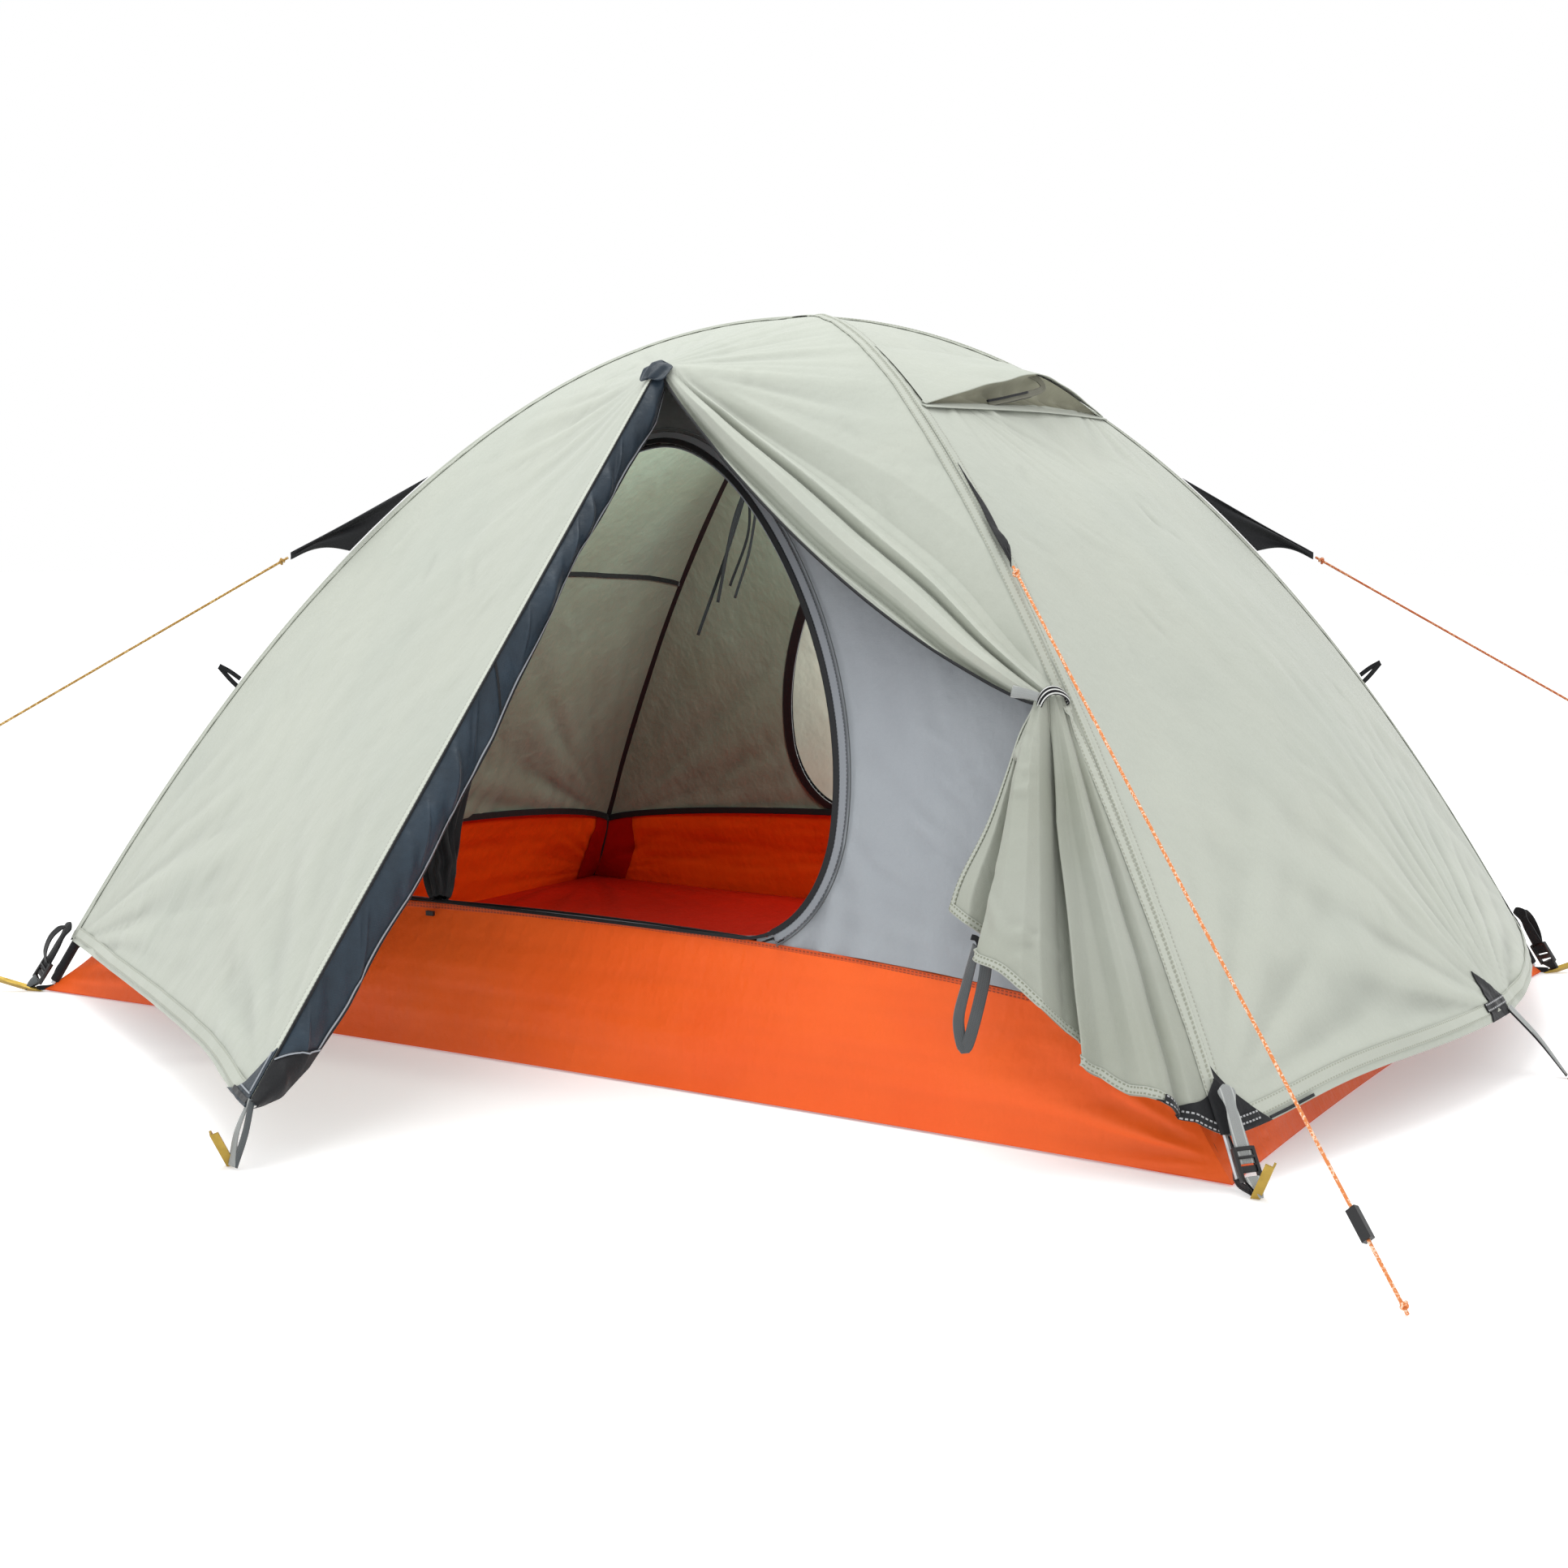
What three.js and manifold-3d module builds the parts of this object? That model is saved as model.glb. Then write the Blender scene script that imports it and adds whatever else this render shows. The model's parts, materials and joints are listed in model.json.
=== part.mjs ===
// A two-person cross-pole dome tent, pitched: an inner tent with a bathtub groundsheet hangs under a
// flysheet with a door and a vestibule on each long side. Millimetres, +Z up, origin on the ground under
// the crown, +X along the tent, -Y towards the front door, which stands half open.
import * as THREE from "three";
import { mergeVertices } from "three/addons/utils/BufferGeometryUtils.js";
import Module from "manifold-3d";

const wasm = await Module();
wasm.setup();

// Driving dimensions
const HALF_LENGTH = 1050; // corner peg points, along the tent
const HALF_WIDTH = 750; // and across it
const FLY_HEIGHT = 1118; // crown of the flysheet
const FLY_REACH = 1290; // where its pole seams would meet the ground, along the diagonal
const HEM_REACH = 1240; // corners of the fly's hem
const POLE_HEIGHT = 1105;
const POLE_REACH = 1280;
const POLE_RADIUS = 4.25;
const INNER_HEIGHT = 1050;
const INNER_REACH = 1245;
const SEAM_BOW = { x: 36, y: 22 }; // the front-right and rear-left arches bow towards the doors
const ZIP_TOP = new THREE.Vector3(0, -430, 1010);
const ZIP_FOOT = new THREE.Vector3(0, -1270, 90);
const TIE_POINT = new THREE.Vector3(703, -565, 541); // where the opened door half is tied back
const DRAPE_CORNER = new THREE.Vector3(651, -720, 290); // its lowest free corner
const SIDE_PULL = 158; // how far the middle of each end panel is staked out beyond its corners
const TUB_CORNER_REACH = 1262;
const TUB_HEIGHT = { corner: 145, middle: 210 };
const CLOTH = 2; // thickness of every cloth solid
const WEBBING = { width: 20, thickness: 2 };
const GUYLINE_RADIUS = 2;
const DOOR_STRAP = { x: -2, top: { y: -1277, z: 84 }, foot: { y: -1304, z: 6 } };
const SIDE_STRAP = { top: { x: 1172, z: 88 }, foot: { x: 1243, z: 5 } };
const CORNER_STRAP = { top: { x: 1243, z: 106 }, foot: { x: 1287, z: 38 } }; // x along the diagonal
const DOOR_PEG = { x: -22.5, y: -1300 };
const SIDE_PEG_REACH = 1258;
const CORNER_PEG_REACH = 1316;
const STEEP_PEG = { lean: 30, length: 50 }; // degrees off vertical, and how much is above the ground
const LOW_PEG = { lean: 72, length: 56 };
const SUNK_PEG = { lean: 30, length: 14 };
const HUB_RADIUS = 20;
const HUB_THICKNESS = 11;
const GAP = 0.4; // between neighbours that touch
const SEAM_INSET = 1.6; // cloth edge to the seam line it is sewn along
const HINGE_INSET = 4; // door edge to the line it folds about

const { lerp } = THREE.MathUtils;
const point = (x, y, z) => new THREE.Vector3(x, y, z);
const halfDiagonal = Math.hypot(HALF_LENGTH, HALF_WIDTH);
const DIAGONAL = { x: HALF_LENGTH / halfDiagonal, y: HALF_WIDTH / halfDiagonal };
const HEM_T = HEM_REACH / FLY_REACH;
const ZIP_T = 0.36; // share of the pole seam above the door
const TIE_T = 0.72; // share of it above the tie-back
const CROWN_T = 0.03; // the panels start just off the crown

const CORNERS = {
  front_left: { x: -1, y: -1 },
  front_right: { x: 1, y: -1 },
  rear_left: { x: -1, y: 1 },
  rear_right: { x: 1, y: 1 },
};
const FLY = { reach: FLY_REACH, height: FLY_HEIGHT };
const POLE = { reach: POLE_REACH, height: POLE_HEIGHT };
const INNER = { reach: INNER_REACH, height: INNER_HEIGHT };

// Materials
const cloth = (color, roughness) => new THREE.MeshStandardMaterial({ color, roughness });
const metal = (color, roughness) => new THREE.MeshStandardMaterial({ color, roughness, metalness: 1 });
const FLY_CLOTH = cloth(0xc9ccbd, 0.75);
const LINING_CLOTH = cloth(0x96989b, 0.8);
const TUB_CLOTH = cloth(0xdd5a1c, 0.6);
const NAVY_CLOTH = cloth(0x1d2a35, 0.7);
const BLACK_WEBBING = cloth(0x1a1b1e, 0.85);
const GREY_WEBBING = cloth(0x8f9396, 0.85);
const BLACK_PLASTIC = cloth(0x141416, 0.4);
const POLE_METAL = metal(0xc8cacc, 0.35);
const PEG_METAL = metal(0xb79a4e, 0.4);
const ORANGE_CORD = cloth(0xe08a4c, 0.7);

const tent = new THREE.Group();

function addPart(name, geometry, material, parent = tent) {
  const mesh = new THREE.Mesh(geometry, material);
  mesh.name = name;
  parent.add(mesh);
  return mesh;
}

function turned(angle, position = point(0, 0, 0)) {
  const group = new THREE.Group();
  group.rotation.z = angle;
  group.position.copy(position);
  tent.add(group);
  return group;
}

// ---- geometry helpers ----

// A closed sheet of even thickness over surface(u, v), both from 0 to 1.
function sheet(surface, uSteps, vSteps, thickness = CLOTH) {
  const step = 1e-3;
  const columns = uSteps + 1;
  const count = columns * (vSteps + 1);
  const front = [];
  const back = [];
  for (let j = 0; j <= vSteps; j++) {
    for (let i = 0; i <= uSteps; i++) {
      const u = i / uSteps;
      const v = j / vSteps;
      const alongU = surface(Math.min(u + step, 1), v).sub(surface(Math.max(u - step, 0), v));
      const alongV = surface(u, Math.min(v + step, 1)).sub(surface(u, Math.max(v - step, 0)));
      const normal = alongU.cross(alongV).setLength(thickness / 2);
      const middle = surface(u, v);
      front.push(...middle.clone().add(normal));
      back.push(...middle.sub(normal));
    }
  }
  const triangles = [];
  const cell = (i, j) => j * columns + i;
  for (let j = 0; j < vSteps; j++) {
    for (let i = 0; i < uSteps; i++) {
      const [a, b, c, d] = [cell(i, j), cell(i + 1, j), cell(i + 1, j + 1), cell(i, j + 1)];
      triangles.push(a, b, c, a, c, d);
      triangles.push(count + c, count + b, count + a, count + d, count + c, count + a);
    }
  }
  const rim = [];
  for (let i = 0; i < uSteps; i++) rim.push(cell(i, 0));
  for (let j = 0; j < vSteps; j++) rim.push(cell(uSteps, j));
  for (let i = uSteps; i > 0; i--) rim.push(cell(i, vSteps));
  for (let j = vSteps; j > 0; j--) rim.push(cell(0, j));
  rim.forEach((a, k) => {
    const b = rim[(k + 1) % rim.length];
    triangles.push(b, a, count + a, b, count + a, count + b);
  });
  return meshOf([...front, ...back], triangles);
}

function meshOf(positions, triangles) {
  const geometry = new THREE.BufferGeometry();
  geometry.setAttribute("position", new THREE.Float32BufferAttribute(positions, 3));
  geometry.setIndex(triangles);
  geometry.computeVertexNormals();
  return geometry;
}

function solidOf(geometry) {
  const bare = geometry.clone();
  bare.deleteAttribute("normal");
  bare.deleteAttribute("uv");
  const merged = mergeVertices(bare);
  return new wasm.Manifold(
    new wasm.Mesh({
      numProp: 3,
      vertProperties: merged.attributes.position.array,
      triVerts: new Uint32Array(merged.index.array),
    }),
  );
}

function cut(geometry, tool) {
  const { vertProperties, triVerts } = solidOf(geometry).subtract(solidOf(tool)).getMesh();
  return meshOf(vertProperties, Array.from(triVerts));
}

function extrude(outline, depth, curveSegments = 8) {
  const geometry = new THREE.ExtrudeGeometry(outline, { depth, bevelEnabled: false, curveSegments });
  return geometry.translate(0, 0, -depth / 2);
}

// An outline drawn in X and Z, pulled along Y.
const standing = (outline, depth, segments) => extrude(outline, depth, segments).rotateX(Math.PI / 2);

function tube(points, radius, steps, sides = 8) {
  const section = new THREE.Shape(
    Array.from({ length: sides }, (_, k) => {
      const angle = (2 * Math.PI * k) / sides;
      return new THREE.Vector2(radius * Math.cos(angle), radius * Math.sin(angle));
    }),
  );
  const extrudePath = new THREE.CatmullRomCurve3(points);
  return new THREE.ExtrudeGeometry(section, { extrudePath, steps, bevelEnabled: false });
}

// A flat strip of webbing from one point to another, its width along the given direction.
function strap(from, to, widthDirection, { width, thickness } = WEBBING) {
  const half = widthDirection.clone().setLength(width / 2);
  const surface = (u, v) => from.clone().lerp(to, v).addScaledVector(half, 2 * u - 1);
  return sheet(surface, 1, 4, thickness);
}

// A point on the line from a to b, u from 0 to 1, kept clear of both ends.
function across(a, b, u, startInset = SEAM_INSET, endInset = SEAM_INSET) {
  const length = a.distanceTo(b);
  return a.clone().lerp(b, lerp(startInset / length, 1 - endInset / length, u));
}

// ---- the tent's lines ----

// A point on the arch over one corner, t = 0 at the crown and 1 at the ground.
function archPoint(corner, t, arch) {
  const isBowed = corner.x * corner.y < 0;
  const easeIn = Math.min(10 * t, 1);
  const bow = isBowed ? easeIn * Math.sin(Math.PI * Math.min(t / HEM_T, 1) ** 0.75) : 0;
  return point(
    corner.x * (t * arch.reach * DIAGONAL.x - bow * SEAM_BOW.x),
    corner.y * (t * arch.reach * DIAGONAL.y + bow * SEAM_BOW.y),
    arch.height * (1 - t * t),
  );
}

const flySeam = (corner, t) => archPoint(corner, t, FLY);

// The ridge from the crown to the top of the front zip.
function ridgePoint(t) {
  const share = t / ZIP_T;
  return point(0, ZIP_TOP.y * share, lerp(FLY_HEIGHT, ZIP_TOP.z, share ** 1.4));
}

const doorShare = (t) => (t - ZIP_T) / (HEM_T - ZIP_T);
const zipPoint = (share) => ZIP_TOP.clone().lerp(ZIP_FOOT, share);
const ZIP_LEAN = Math.atan2(ZIP_TOP.z - ZIP_FOOT.z, ZIP_TOP.y - ZIP_FOOT.y);

// ---- flysheet, built as the front half and turned about Z for the rear ----

// Between the ridge and zip on one side and a pole seam on the other, down to the hem.
function closedHalfPanel(corner) {
  return sheet(
    (u, v) => {
      const t = lerp(CROWN_T, HEM_T, v);
      const ridge = t < ZIP_T ? ridgePoint(t) : zipPoint(doorShare(t));
      return across(ridge, flySeam(corner, t), u);
    },
    6,
    16,
  );
}

// The fixed cloth between the pole seam and the line that the hinged door half folds about.
function besideDoorPanel(corner) {
  const lowestT = 0.94; // below here the door and the seam meet in the hem's corner
  const hemCorner = flySeam(corner, HEM_T);
  return sheet(
    (u, v) => {
      const t = lerp(CROWN_T, lowestT, v);
      const edge = t < ZIP_T ? ridgePoint(t) : ZIP_TOP.clone().lerp(hemCorner, doorShare(t));
      return across(edge, flySeam(corner, t), u);
    },
    4,
    16,
  );
}

function hingedDoor(corner) {
  const hemCorner = flySeam(corner, HEM_T);
  const firstShare = 0.05;
  return sheet(
    (u, v) => {
      const share = lerp(firstShare, 1, v);
      const fold = ZIP_TOP.clone().lerp(hemCorner, share);
      return across(zipPoint(share), fold, u, SEAM_INSET, HINGE_INSET);
    },
    6,
    10,
  );
}

// The opened half: its free edge runs from the zip's top to the tie, sagging on the way.
function tiedBackEdge(share) {
  const sag = Math.sin(Math.PI * share) ** 0.6;
  return ZIP_TOP.clone().lerp(TIE_POINT, share).add(point(0, -22 * sag, -70 * sag));
}

function tiedBackPanel(corner) {
  return sheet(
    (u, v) => {
      const t = lerp(CROWN_T, TIE_T, v);
      const edge = t < ZIP_T ? ridgePoint(t) : tiedBackEdge((t - ZIP_T) / (TIE_T - ZIP_T));
      return across(edge, flySeam(corner, t), u);
    },
    6,
    16,
  );
}

// Below the tie the same half hangs in folds, from the gather down to the hem.
function drape(corner) {
  const firstT = TIE_T + 0.008;
  const [folds, foldDepth, belly] = [3, 14, 60];
  return sheet(
    (u, v) => {
      const left = TIE_POINT.clone().add(point(0, 0, -8)).lerp(DRAPE_CORNER, v);
      const seam = flySeam(corner, lerp(firstT, HEM_T, v));
      const fold = foldDepth * Math.sin(2 * Math.PI * folds * u) - belly * Math.sin(Math.PI * u);
      return across(left, seam, u).add(point(0, v * fold * Math.sin(Math.PI * u) ** 0.5, 0));
    },
    18,
    10,
  );
}

// The end of the tent between two pole seams, staked out at the middle of its hem.
function endPoint(u, t) {
  const middling = 1 - Math.abs(2 * u - 1) ** 1.6;
  const pull = SIDE_PULL * (t / HEM_T) ** 2 * middling;
  const { front_right, rear_right } = CORNERS;
  return across(flySeam(front_right, t), flySeam(rear_right, t), u).add(point(pull, 0, 0));
}

const HOOD_TOP_T = 0.27;
const HOOD_LIP_T = 0.352;
const HOOD_LIFT = point(40, 0, 28); // how far the strut holds the middle of the lip out
const HOOD_CLEARANCE = point(1.6, 0, 3.2); // between the closed hood and the panel under it
const VENT = { top: 300, edge: 340, middle: 402, halfWidth: 215 }; // the hole, seen from above

function endPanel() {
  const panel = sheet((u, v) => endPoint(u, lerp(CROWN_T, HEM_T, v)), 8, 18);
  const hole = new THREE.Shape()
    .moveTo(VENT.top, -VENT.halfWidth)
    .lineTo(VENT.edge, -VENT.halfWidth);
  hole.quadraticCurveTo(2 * VENT.middle - VENT.edge, 0, VENT.edge, VENT.halfWidth);
  hole.lineTo(VENT.top, VENT.halfWidth);
  return cut(panel, extrude(hole, 400).translate(0, 0, FLY_HEIGHT - 100));
}

function hoodPoint(u, v) {
  const lift = v * 4 * u * (1 - u);
  return endPoint(u, lerp(HOOD_TOP_T, HOOD_LIP_T, v))
    .addScaledVector(HOOD_LIFT, lift)
    .add(HOOD_CLEARANCE);
}

const STRUT = { width: 12, lean: -4, drop: 36, alongHood: 0.86 };

for (const [end, side, corner, angle] of [
  ["front", "right", "front_left", 0],
  ["rear", "left", "rear_right", Math.PI],
]) {
  const half = turned(angle);
  addPart(`fly_${corner}_panel`, besideDoorPanel(CORNERS.front_left), FLY_CLOTH, half);
  addPart(`${end}_door`, hingedDoor(CORNERS.front_left), FLY_CLOTH, half);
  addPart(`fly_${side}_panel`, endPanel(), FLY_CLOTH, half);
  const hood = sheet((u, v) => hoodPoint(lerp(0.03, 0.97, u), v), 8, 3); // just inside the pole seams
  addPart(`${side}_vent_hood`, hood, FLY_CLOTH, half);

  // The strut hangs from the hood's lip and stands in the mouth of the hole.
  const strutTop = hoodPoint(0.5, STRUT.alongHood).add(point(0, 0, -CLOTH));
  const strutFoot = strutTop.clone().add(point(STRUT.lean, 0, -STRUT.drop));
  const strutTape = { width: STRUT.width, thickness: WEBBING.thickness };
  const strut = strap(strutTop, strutFoot, point(0, 1, 0), strutTape);
  addPart(`${side}_vent_strut`, strut, BLACK_WEBBING, half);

  // Webbing from the door's foot to its peg, and from the middle of the end hem to its own.
  const [doorTop, doorFoot] = [DOOR_STRAP.top, DOOR_STRAP.foot].map(({ y, z }) => point(DOOR_STRAP.x, y, z));
  const doorStrap = strap(doorTop, doorFoot, point(1, 0, 0));
  addPart(`${end}_door_strap`, doorStrap, GREY_WEBBING, half);
  const [sideTop, sideFoot] = [SIDE_STRAP.top, SIDE_STRAP.foot].map(({ x, z }) => point(x, 0, z));
  const sideStrap = strap(sideTop, sideFoot, point(0, 1, 0));
  addPart(`${side}_strap`, sideStrap, GREY_WEBBING, half);
}
addPart("fly_front_right_panel", tiedBackPanel(CORNERS.front_right), FLY_CLOTH);
addPart("fly_rear_left_panel", closedHalfPanel(CORNERS.front_right), FLY_CLOTH, turned(Math.PI));
addPart("tied_back_door", drape(CORNERS.front_right), FLY_CLOTH);

// The front storm flap hangs from the free edge; the rear one lies over the closed zip.
const FLAP_WIDTH = 80;
function hangingFlap() {
  const taper = (share) => 1 - 0.7 * Math.max((share - 0.85) / 0.15, 0) ** 2;
  return sheet(
    (u, v) => {
      const share = lerp(0.01, 0.99, v);
      const drop = FLAP_WIDTH * u * taper(share);
      return zipPoint(share).add(point(1.5 + 0.3 * drop, 0, -drop));
    },
    4,
    16,
  );
}

function lyingFlap() {
  const [over, under] = [30, 50]; // on the hinged half, and past the zip
  const firstShare = 0.06; // below the line that the hinged half folds about
  const proud = point(0, -Math.sin(ZIP_LEAN), Math.cos(ZIP_LEAN)).setLength(4);
  return sheet(
    (u, v) => zipPoint(lerp(firstShare, 1, v)).add(proud).add(point(lerp(-over, under, u), 0, 0)),
    2,
    8,
  );
}
addPart("front_storm_flap", hangingFlap(), NAVY_CLOTH);
addPart("rear_storm_flap", lyingFlap(), NAVY_CLOTH, turned(Math.PI));

// A slider on the inside of the hinged half's zip, at a share of its length.
function zipSlider(share) {
  const [width, length, thickness] = [8, 16, 6];
  const underZip = 8; // from the zip line down to the slider's middle
  const body = new THREE.BoxGeometry(width, length, thickness).translate(-width / 2 - GAP, 0, -underZip);
  const atShare = zipPoint(share);
  return body.rotateX(ZIP_LEAN).translate(atShare.x, atShare.y, atShare.z);
}
addPart("front_zip_slider", zipSlider(0.06), BLACK_PLASTIC);
addPart("rear_zip_slider", zipSlider(0.95), BLACK_PLASTIC, turned(Math.PI));

// The tie's toggle, and the peg loop that hangs from the opened half's corner.
const TOGGLE = { radius: 4, length: 26, offset: point(-4, -8, 4) };
const toggle = new THREE.CapsuleGeometry(TOGGLE.radius, TOGGLE.length, 3, 8)
  .rotateZ(Math.PI / 2)
  .translate(-TOGGLE.length / 2 - 1.5 * TOGGLE.radius, 0, 0);
addPart("tie_toggle", toggle, GREY_WEBBING).position.copy(TIE_POINT).add(TOGGLE.offset);

function hangingLoop() {
  const [width, length, strip] = [30, 122, 2];
  const ring = new THREE.Shape()
    .moveTo(0, 0)
    .bezierCurveTo(-width / 2, -length / 2, -width * 0.9, -length, 0, -length)
    .bezierCurveTo(width * 0.9, -length, width / 2, -length / 2, 0, 0);
  const [inner, top, foot] = [width - 2 * strip, -12, strip - length];
  ring.holes.push(
    new THREE.Path()
      .moveTo(0, top)
      .bezierCurveTo(inner / 2, top + foot / 2, inner * 0.9, foot, 0, foot)
      .bezierCurveTo(-inner * 0.9, foot, -inner / 2, top + foot / 2, 0, top),
  );
  return standing(ring, 18);
}
const LOOP_TOP = point(694, -752, 250);
addPart("hanging_peg_loop", hangingLoop(), GREY_WEBBING).position.copy(LOOP_TOP);

// ---- inner tent ----

const innerSeam = (corner, t) => archPoint(corner, t, INNER);

// The tub's top edge rises from each corner to the middle of the side.
function tubTopT(u) {
  const middling = (4 * u * (1 - u)) ** 0.6;
  const height = lerp(TUB_HEIGHT.corner, TUB_HEIGHT.middle, middling);
  return Math.sqrt(1 - height / INNER_HEIGHT);
}

function innerWall(from, to) {
  const aboveTub = 0.004;
  return sheet(
    (u, v) => {
      const t = lerp(CROWN_T, tubTopT(u) - aboveTub, v);
      return across(innerSeam(from, t), innerSeam(to, t), u);
    },
    8,
    14,
  );
}

function doorway() {
  const outline = new THREE.Shape()
    .moveTo(-330, 192)
    .lineTo(290, 192)
    .bezierCurveTo(370, 195, 408, 260, 405, 345)
    .bezierCurveTo(385, 640, 40, 915, -110, 905)
    .bezierCurveTo(-170, 900, -205, 870, -215, 820);
  return standing(outline, 700).translate(0, -550, 0);
}

// The unzipped inner door, rolled up along its straight edge outside the wall.
function doorBundle() {
  const radius = 22;
  const straightEdge = [
    point(-322, -682, 232),
    point(-300, -640, 330),
    point(-262, -560, 540),
    point(-232, -470, 740),
  ];
  return tube(straightEdge, radius, 10);
}

for (const [end, side, angle] of [
  ["front", "right", 0],
  ["rear", "left", Math.PI],
]) {
  const half = turned(angle);
  const longWall = innerWall(CORNERS.front_left, CORNERS.front_right);
  addPart(`inner_${end}_wall`, cut(longWall, doorway()), LINING_CLOTH, half);
  const shortWall = innerWall(CORNERS.front_right, CORNERS.rear_right);
  addPart(`inner_${side}_wall`, shortWall, LINING_CLOTH, half);
  addPart(`inner_${end}_door_bundle`, doorBundle(), LINING_CLOTH, half);
}
const INNER_SLIDER = { size: [14, 5, 7], at: point(-262, -664, 192) };
addPart("inner_zip_slider", new THREE.BoxGeometry(...INNER_SLIDER.size), BLACK_PLASTIC).position.copy(
  INNER_SLIDER.at,
);

// Floor and walls in one piece, the walls leaning in to the inner tent's lower edge.
function tub() {
  const ordered = ["front_left", "front_right", "rear_right", "rear_left"].map((key) => CORNERS[key]);
  const stepsPerSide = 12;
  const inset = 20; // the floor's edge curves in between the corners
  const rings = [[], [], [], []];
  ordered.forEach((from, k) => {
    const to = ordered[(k + 1) % ordered.length];
    const foot = (corner) =>
      point(corner.x * DIAGONAL.x, corner.y * DIAGONAL.y, 0).multiplyScalar(TUB_CORNER_REACH);
    const outward = point(from.x + to.x, from.y + to.y, 0).normalize();
    for (let i = 0; i < stepsPerSide; i++) {
      const u = i / stepsPerSide;
      const low = foot(from).lerp(foot(to), u).addScaledVector(outward, -inset * 4 * u * (1 - u));
      const high = innerSeam(from, tubTopT(u)).lerp(innerSeam(to, tubTopT(u)), u);
      const thick = outward.clone().multiplyScalar(CLOTH);
      rings[0].push(low);
      rings[1].push(high);
      rings[2].push(high.clone().sub(thick));
      rings[3].push(low.clone().sub(thick).add(point(0, 0, CLOTH)));
    }
  });
  const count = rings[0].length;
  const positions = [...rings.flat(), point(0, 0, 0), point(0, 0, CLOTH)].flatMap((p) => [...p]);
  const [underside, floor] = [4 * count, 4 * count + 1];
  const triangles = [];
  for (let i = 0; i < count; i++) {
    const next = (i + 1) % count;
    triangles.push(underside, next, i);
    for (let ring = 0; ring < 3; ring++) {
      const [a, b] = [ring * count + i, ring * count + next];
      triangles.push(a, b, b + count, a, b + count, a + count);
    }
    triangles.push(floor, 3 * count + i, 3 * count + next);
  }
  return meshOf(positions, triangles);
}
addPart("groundsheet_tub", tub(), TUB_CLOTH);

// ---- poles ----

addPart("pole_hub", new THREE.CylinderGeometry(HUB_RADIUS, HUB_RADIUS, HUB_THICKNESS, 24), BLACK_PLASTIC)
  .rotateX(Math.PI / 2)
  .position.set(0, 0, POLE_HEIGHT);

function pole(corner) {
  const besideHub = 1.5;
  const tipHeight = 12; // the pole's tip stands in the corner's webbing just off the ground
  const firstT = (HUB_RADIUS + besideHub) / POLE_REACH;
  const lastT = Math.sqrt(1 - tipHeight / POLE_HEIGHT);
  const steps = 24;
  const points = Array.from({ length: steps + 1 }, (_, k) =>
    archPoint(corner, lerp(firstT, lastT, k / steps), POLE),
  );
  return tube(points, POLE_RADIUS, steps);
}

// ---- corners: strap, buckle, peg; local +X points outwards along the diagonal ----

const STRAP_TOP = point(CORNER_STRAP.top.x, 0, CORNER_STRAP.top.z);
const STRAP_FOOT = point(CORNER_STRAP.foot.x, 0, CORNER_STRAP.foot.z);
const STRAP_DIRECTION = STRAP_FOOT.clone().sub(STRAP_TOP).normalize();

function buckle() {
  const [width, thickness, length, pocket] = [26, 9, 40, 16];
  const body = new THREE.BoxGeometry(thickness, width, length);
  const socket = new THREE.BoxGeometry(
    WEBBING.thickness + 2 * GAP,
    WEBBING.width + 2 * GAP,
    2 * pocket,
  ).translate(0, 0, length / 2);
  const lean = Math.atan2(-STRAP_DIRECTION.x, -STRAP_DIRECTION.z);
  const centre = STRAP_FOOT.clone().addScaledVector(STRAP_DIRECTION, length / 2 - pocket + GAP);
  return cut(body, socket).rotateY(lean).translate(centre.x, centre.y, centre.z);
}

// A stake of V section: the part that stands above the ground, leaning away from the tent.
function pegHead({ lean, length }) {
  const [halfWidth, depth, thickness] = [8, 7, 2];
  const section = new THREE.Shape()
    .moveTo(0, 0)
    .lineTo(halfWidth, depth)
    .lineTo(halfWidth - thickness, depth + thickness)
    .lineTo(0, 1.5 * thickness)
    .lineTo(thickness - halfWidth, depth + thickness)
    .lineTo(-halfWidth, depth);
  const inGround = 30;
  const outwardLean = THREE.MathUtils.degToRad(lean);
  const axis = point(Math.sin(outwardLean), 0, Math.cos(outwardLean));
  const width = point(0, 1, 0);
  const open = axis.clone().cross(width);
  const stake = new THREE.ExtrudeGeometry(section, { depth: length + inGround, bevelEnabled: false })
    .translate(0, 0, -inGround)
    .applyMatrix4(new THREE.Matrix4().makeBasis(width, open, axis));
  const side = 300;
  return cut(stake, new THREE.BoxGeometry(side, side, side).translate(0, 0, -side / 2));
}

for (const [name, corner] of Object.entries(CORNERS)) {
  addPart(`pole_${name}`, pole(corner), POLE_METAL);
  const outwards = turned(Math.atan2(corner.y * DIAGONAL.y, corner.x * DIAGONAL.x));
  const cornerStrap = strap(STRAP_TOP, STRAP_FOOT, point(0, 1, 0));
  addPart(`${name}_strap`, cornerStrap, GREY_WEBBING, outwards);
  addPart(`${name}_buckle`, buckle(), BLACK_PLASTIC, outwards);
  const peg = name === "front_right" ? STEEP_PEG : LOW_PEG;
  addPart(`${name}_peg`, pegHead(peg), PEG_METAL, outwards).position.x = CORNER_PEG_REACH;
}
for (const [name, peg, x, y, angle] of [
  ["front_peg", STEEP_PEG, DOOR_PEG.x, DOOR_PEG.y, -Math.PI / 2],
  ["right_peg", SUNK_PEG, SIDE_PEG_REACH, 0, 0],
  ["rear_peg", STEEP_PEG, -DOOR_PEG.x, -DOOR_PEG.y, Math.PI / 2],
  ["left_peg", SUNK_PEG, -SIDE_PEG_REACH, 0, Math.PI],
]) {
  addPart(name, pegHead(peg), PEG_METAL, turned(angle, point(x, y, 0)));
}

// ---- guylines: a cloth tab on each pole seam, and the lines that are pegged out from three of them ----

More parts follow.
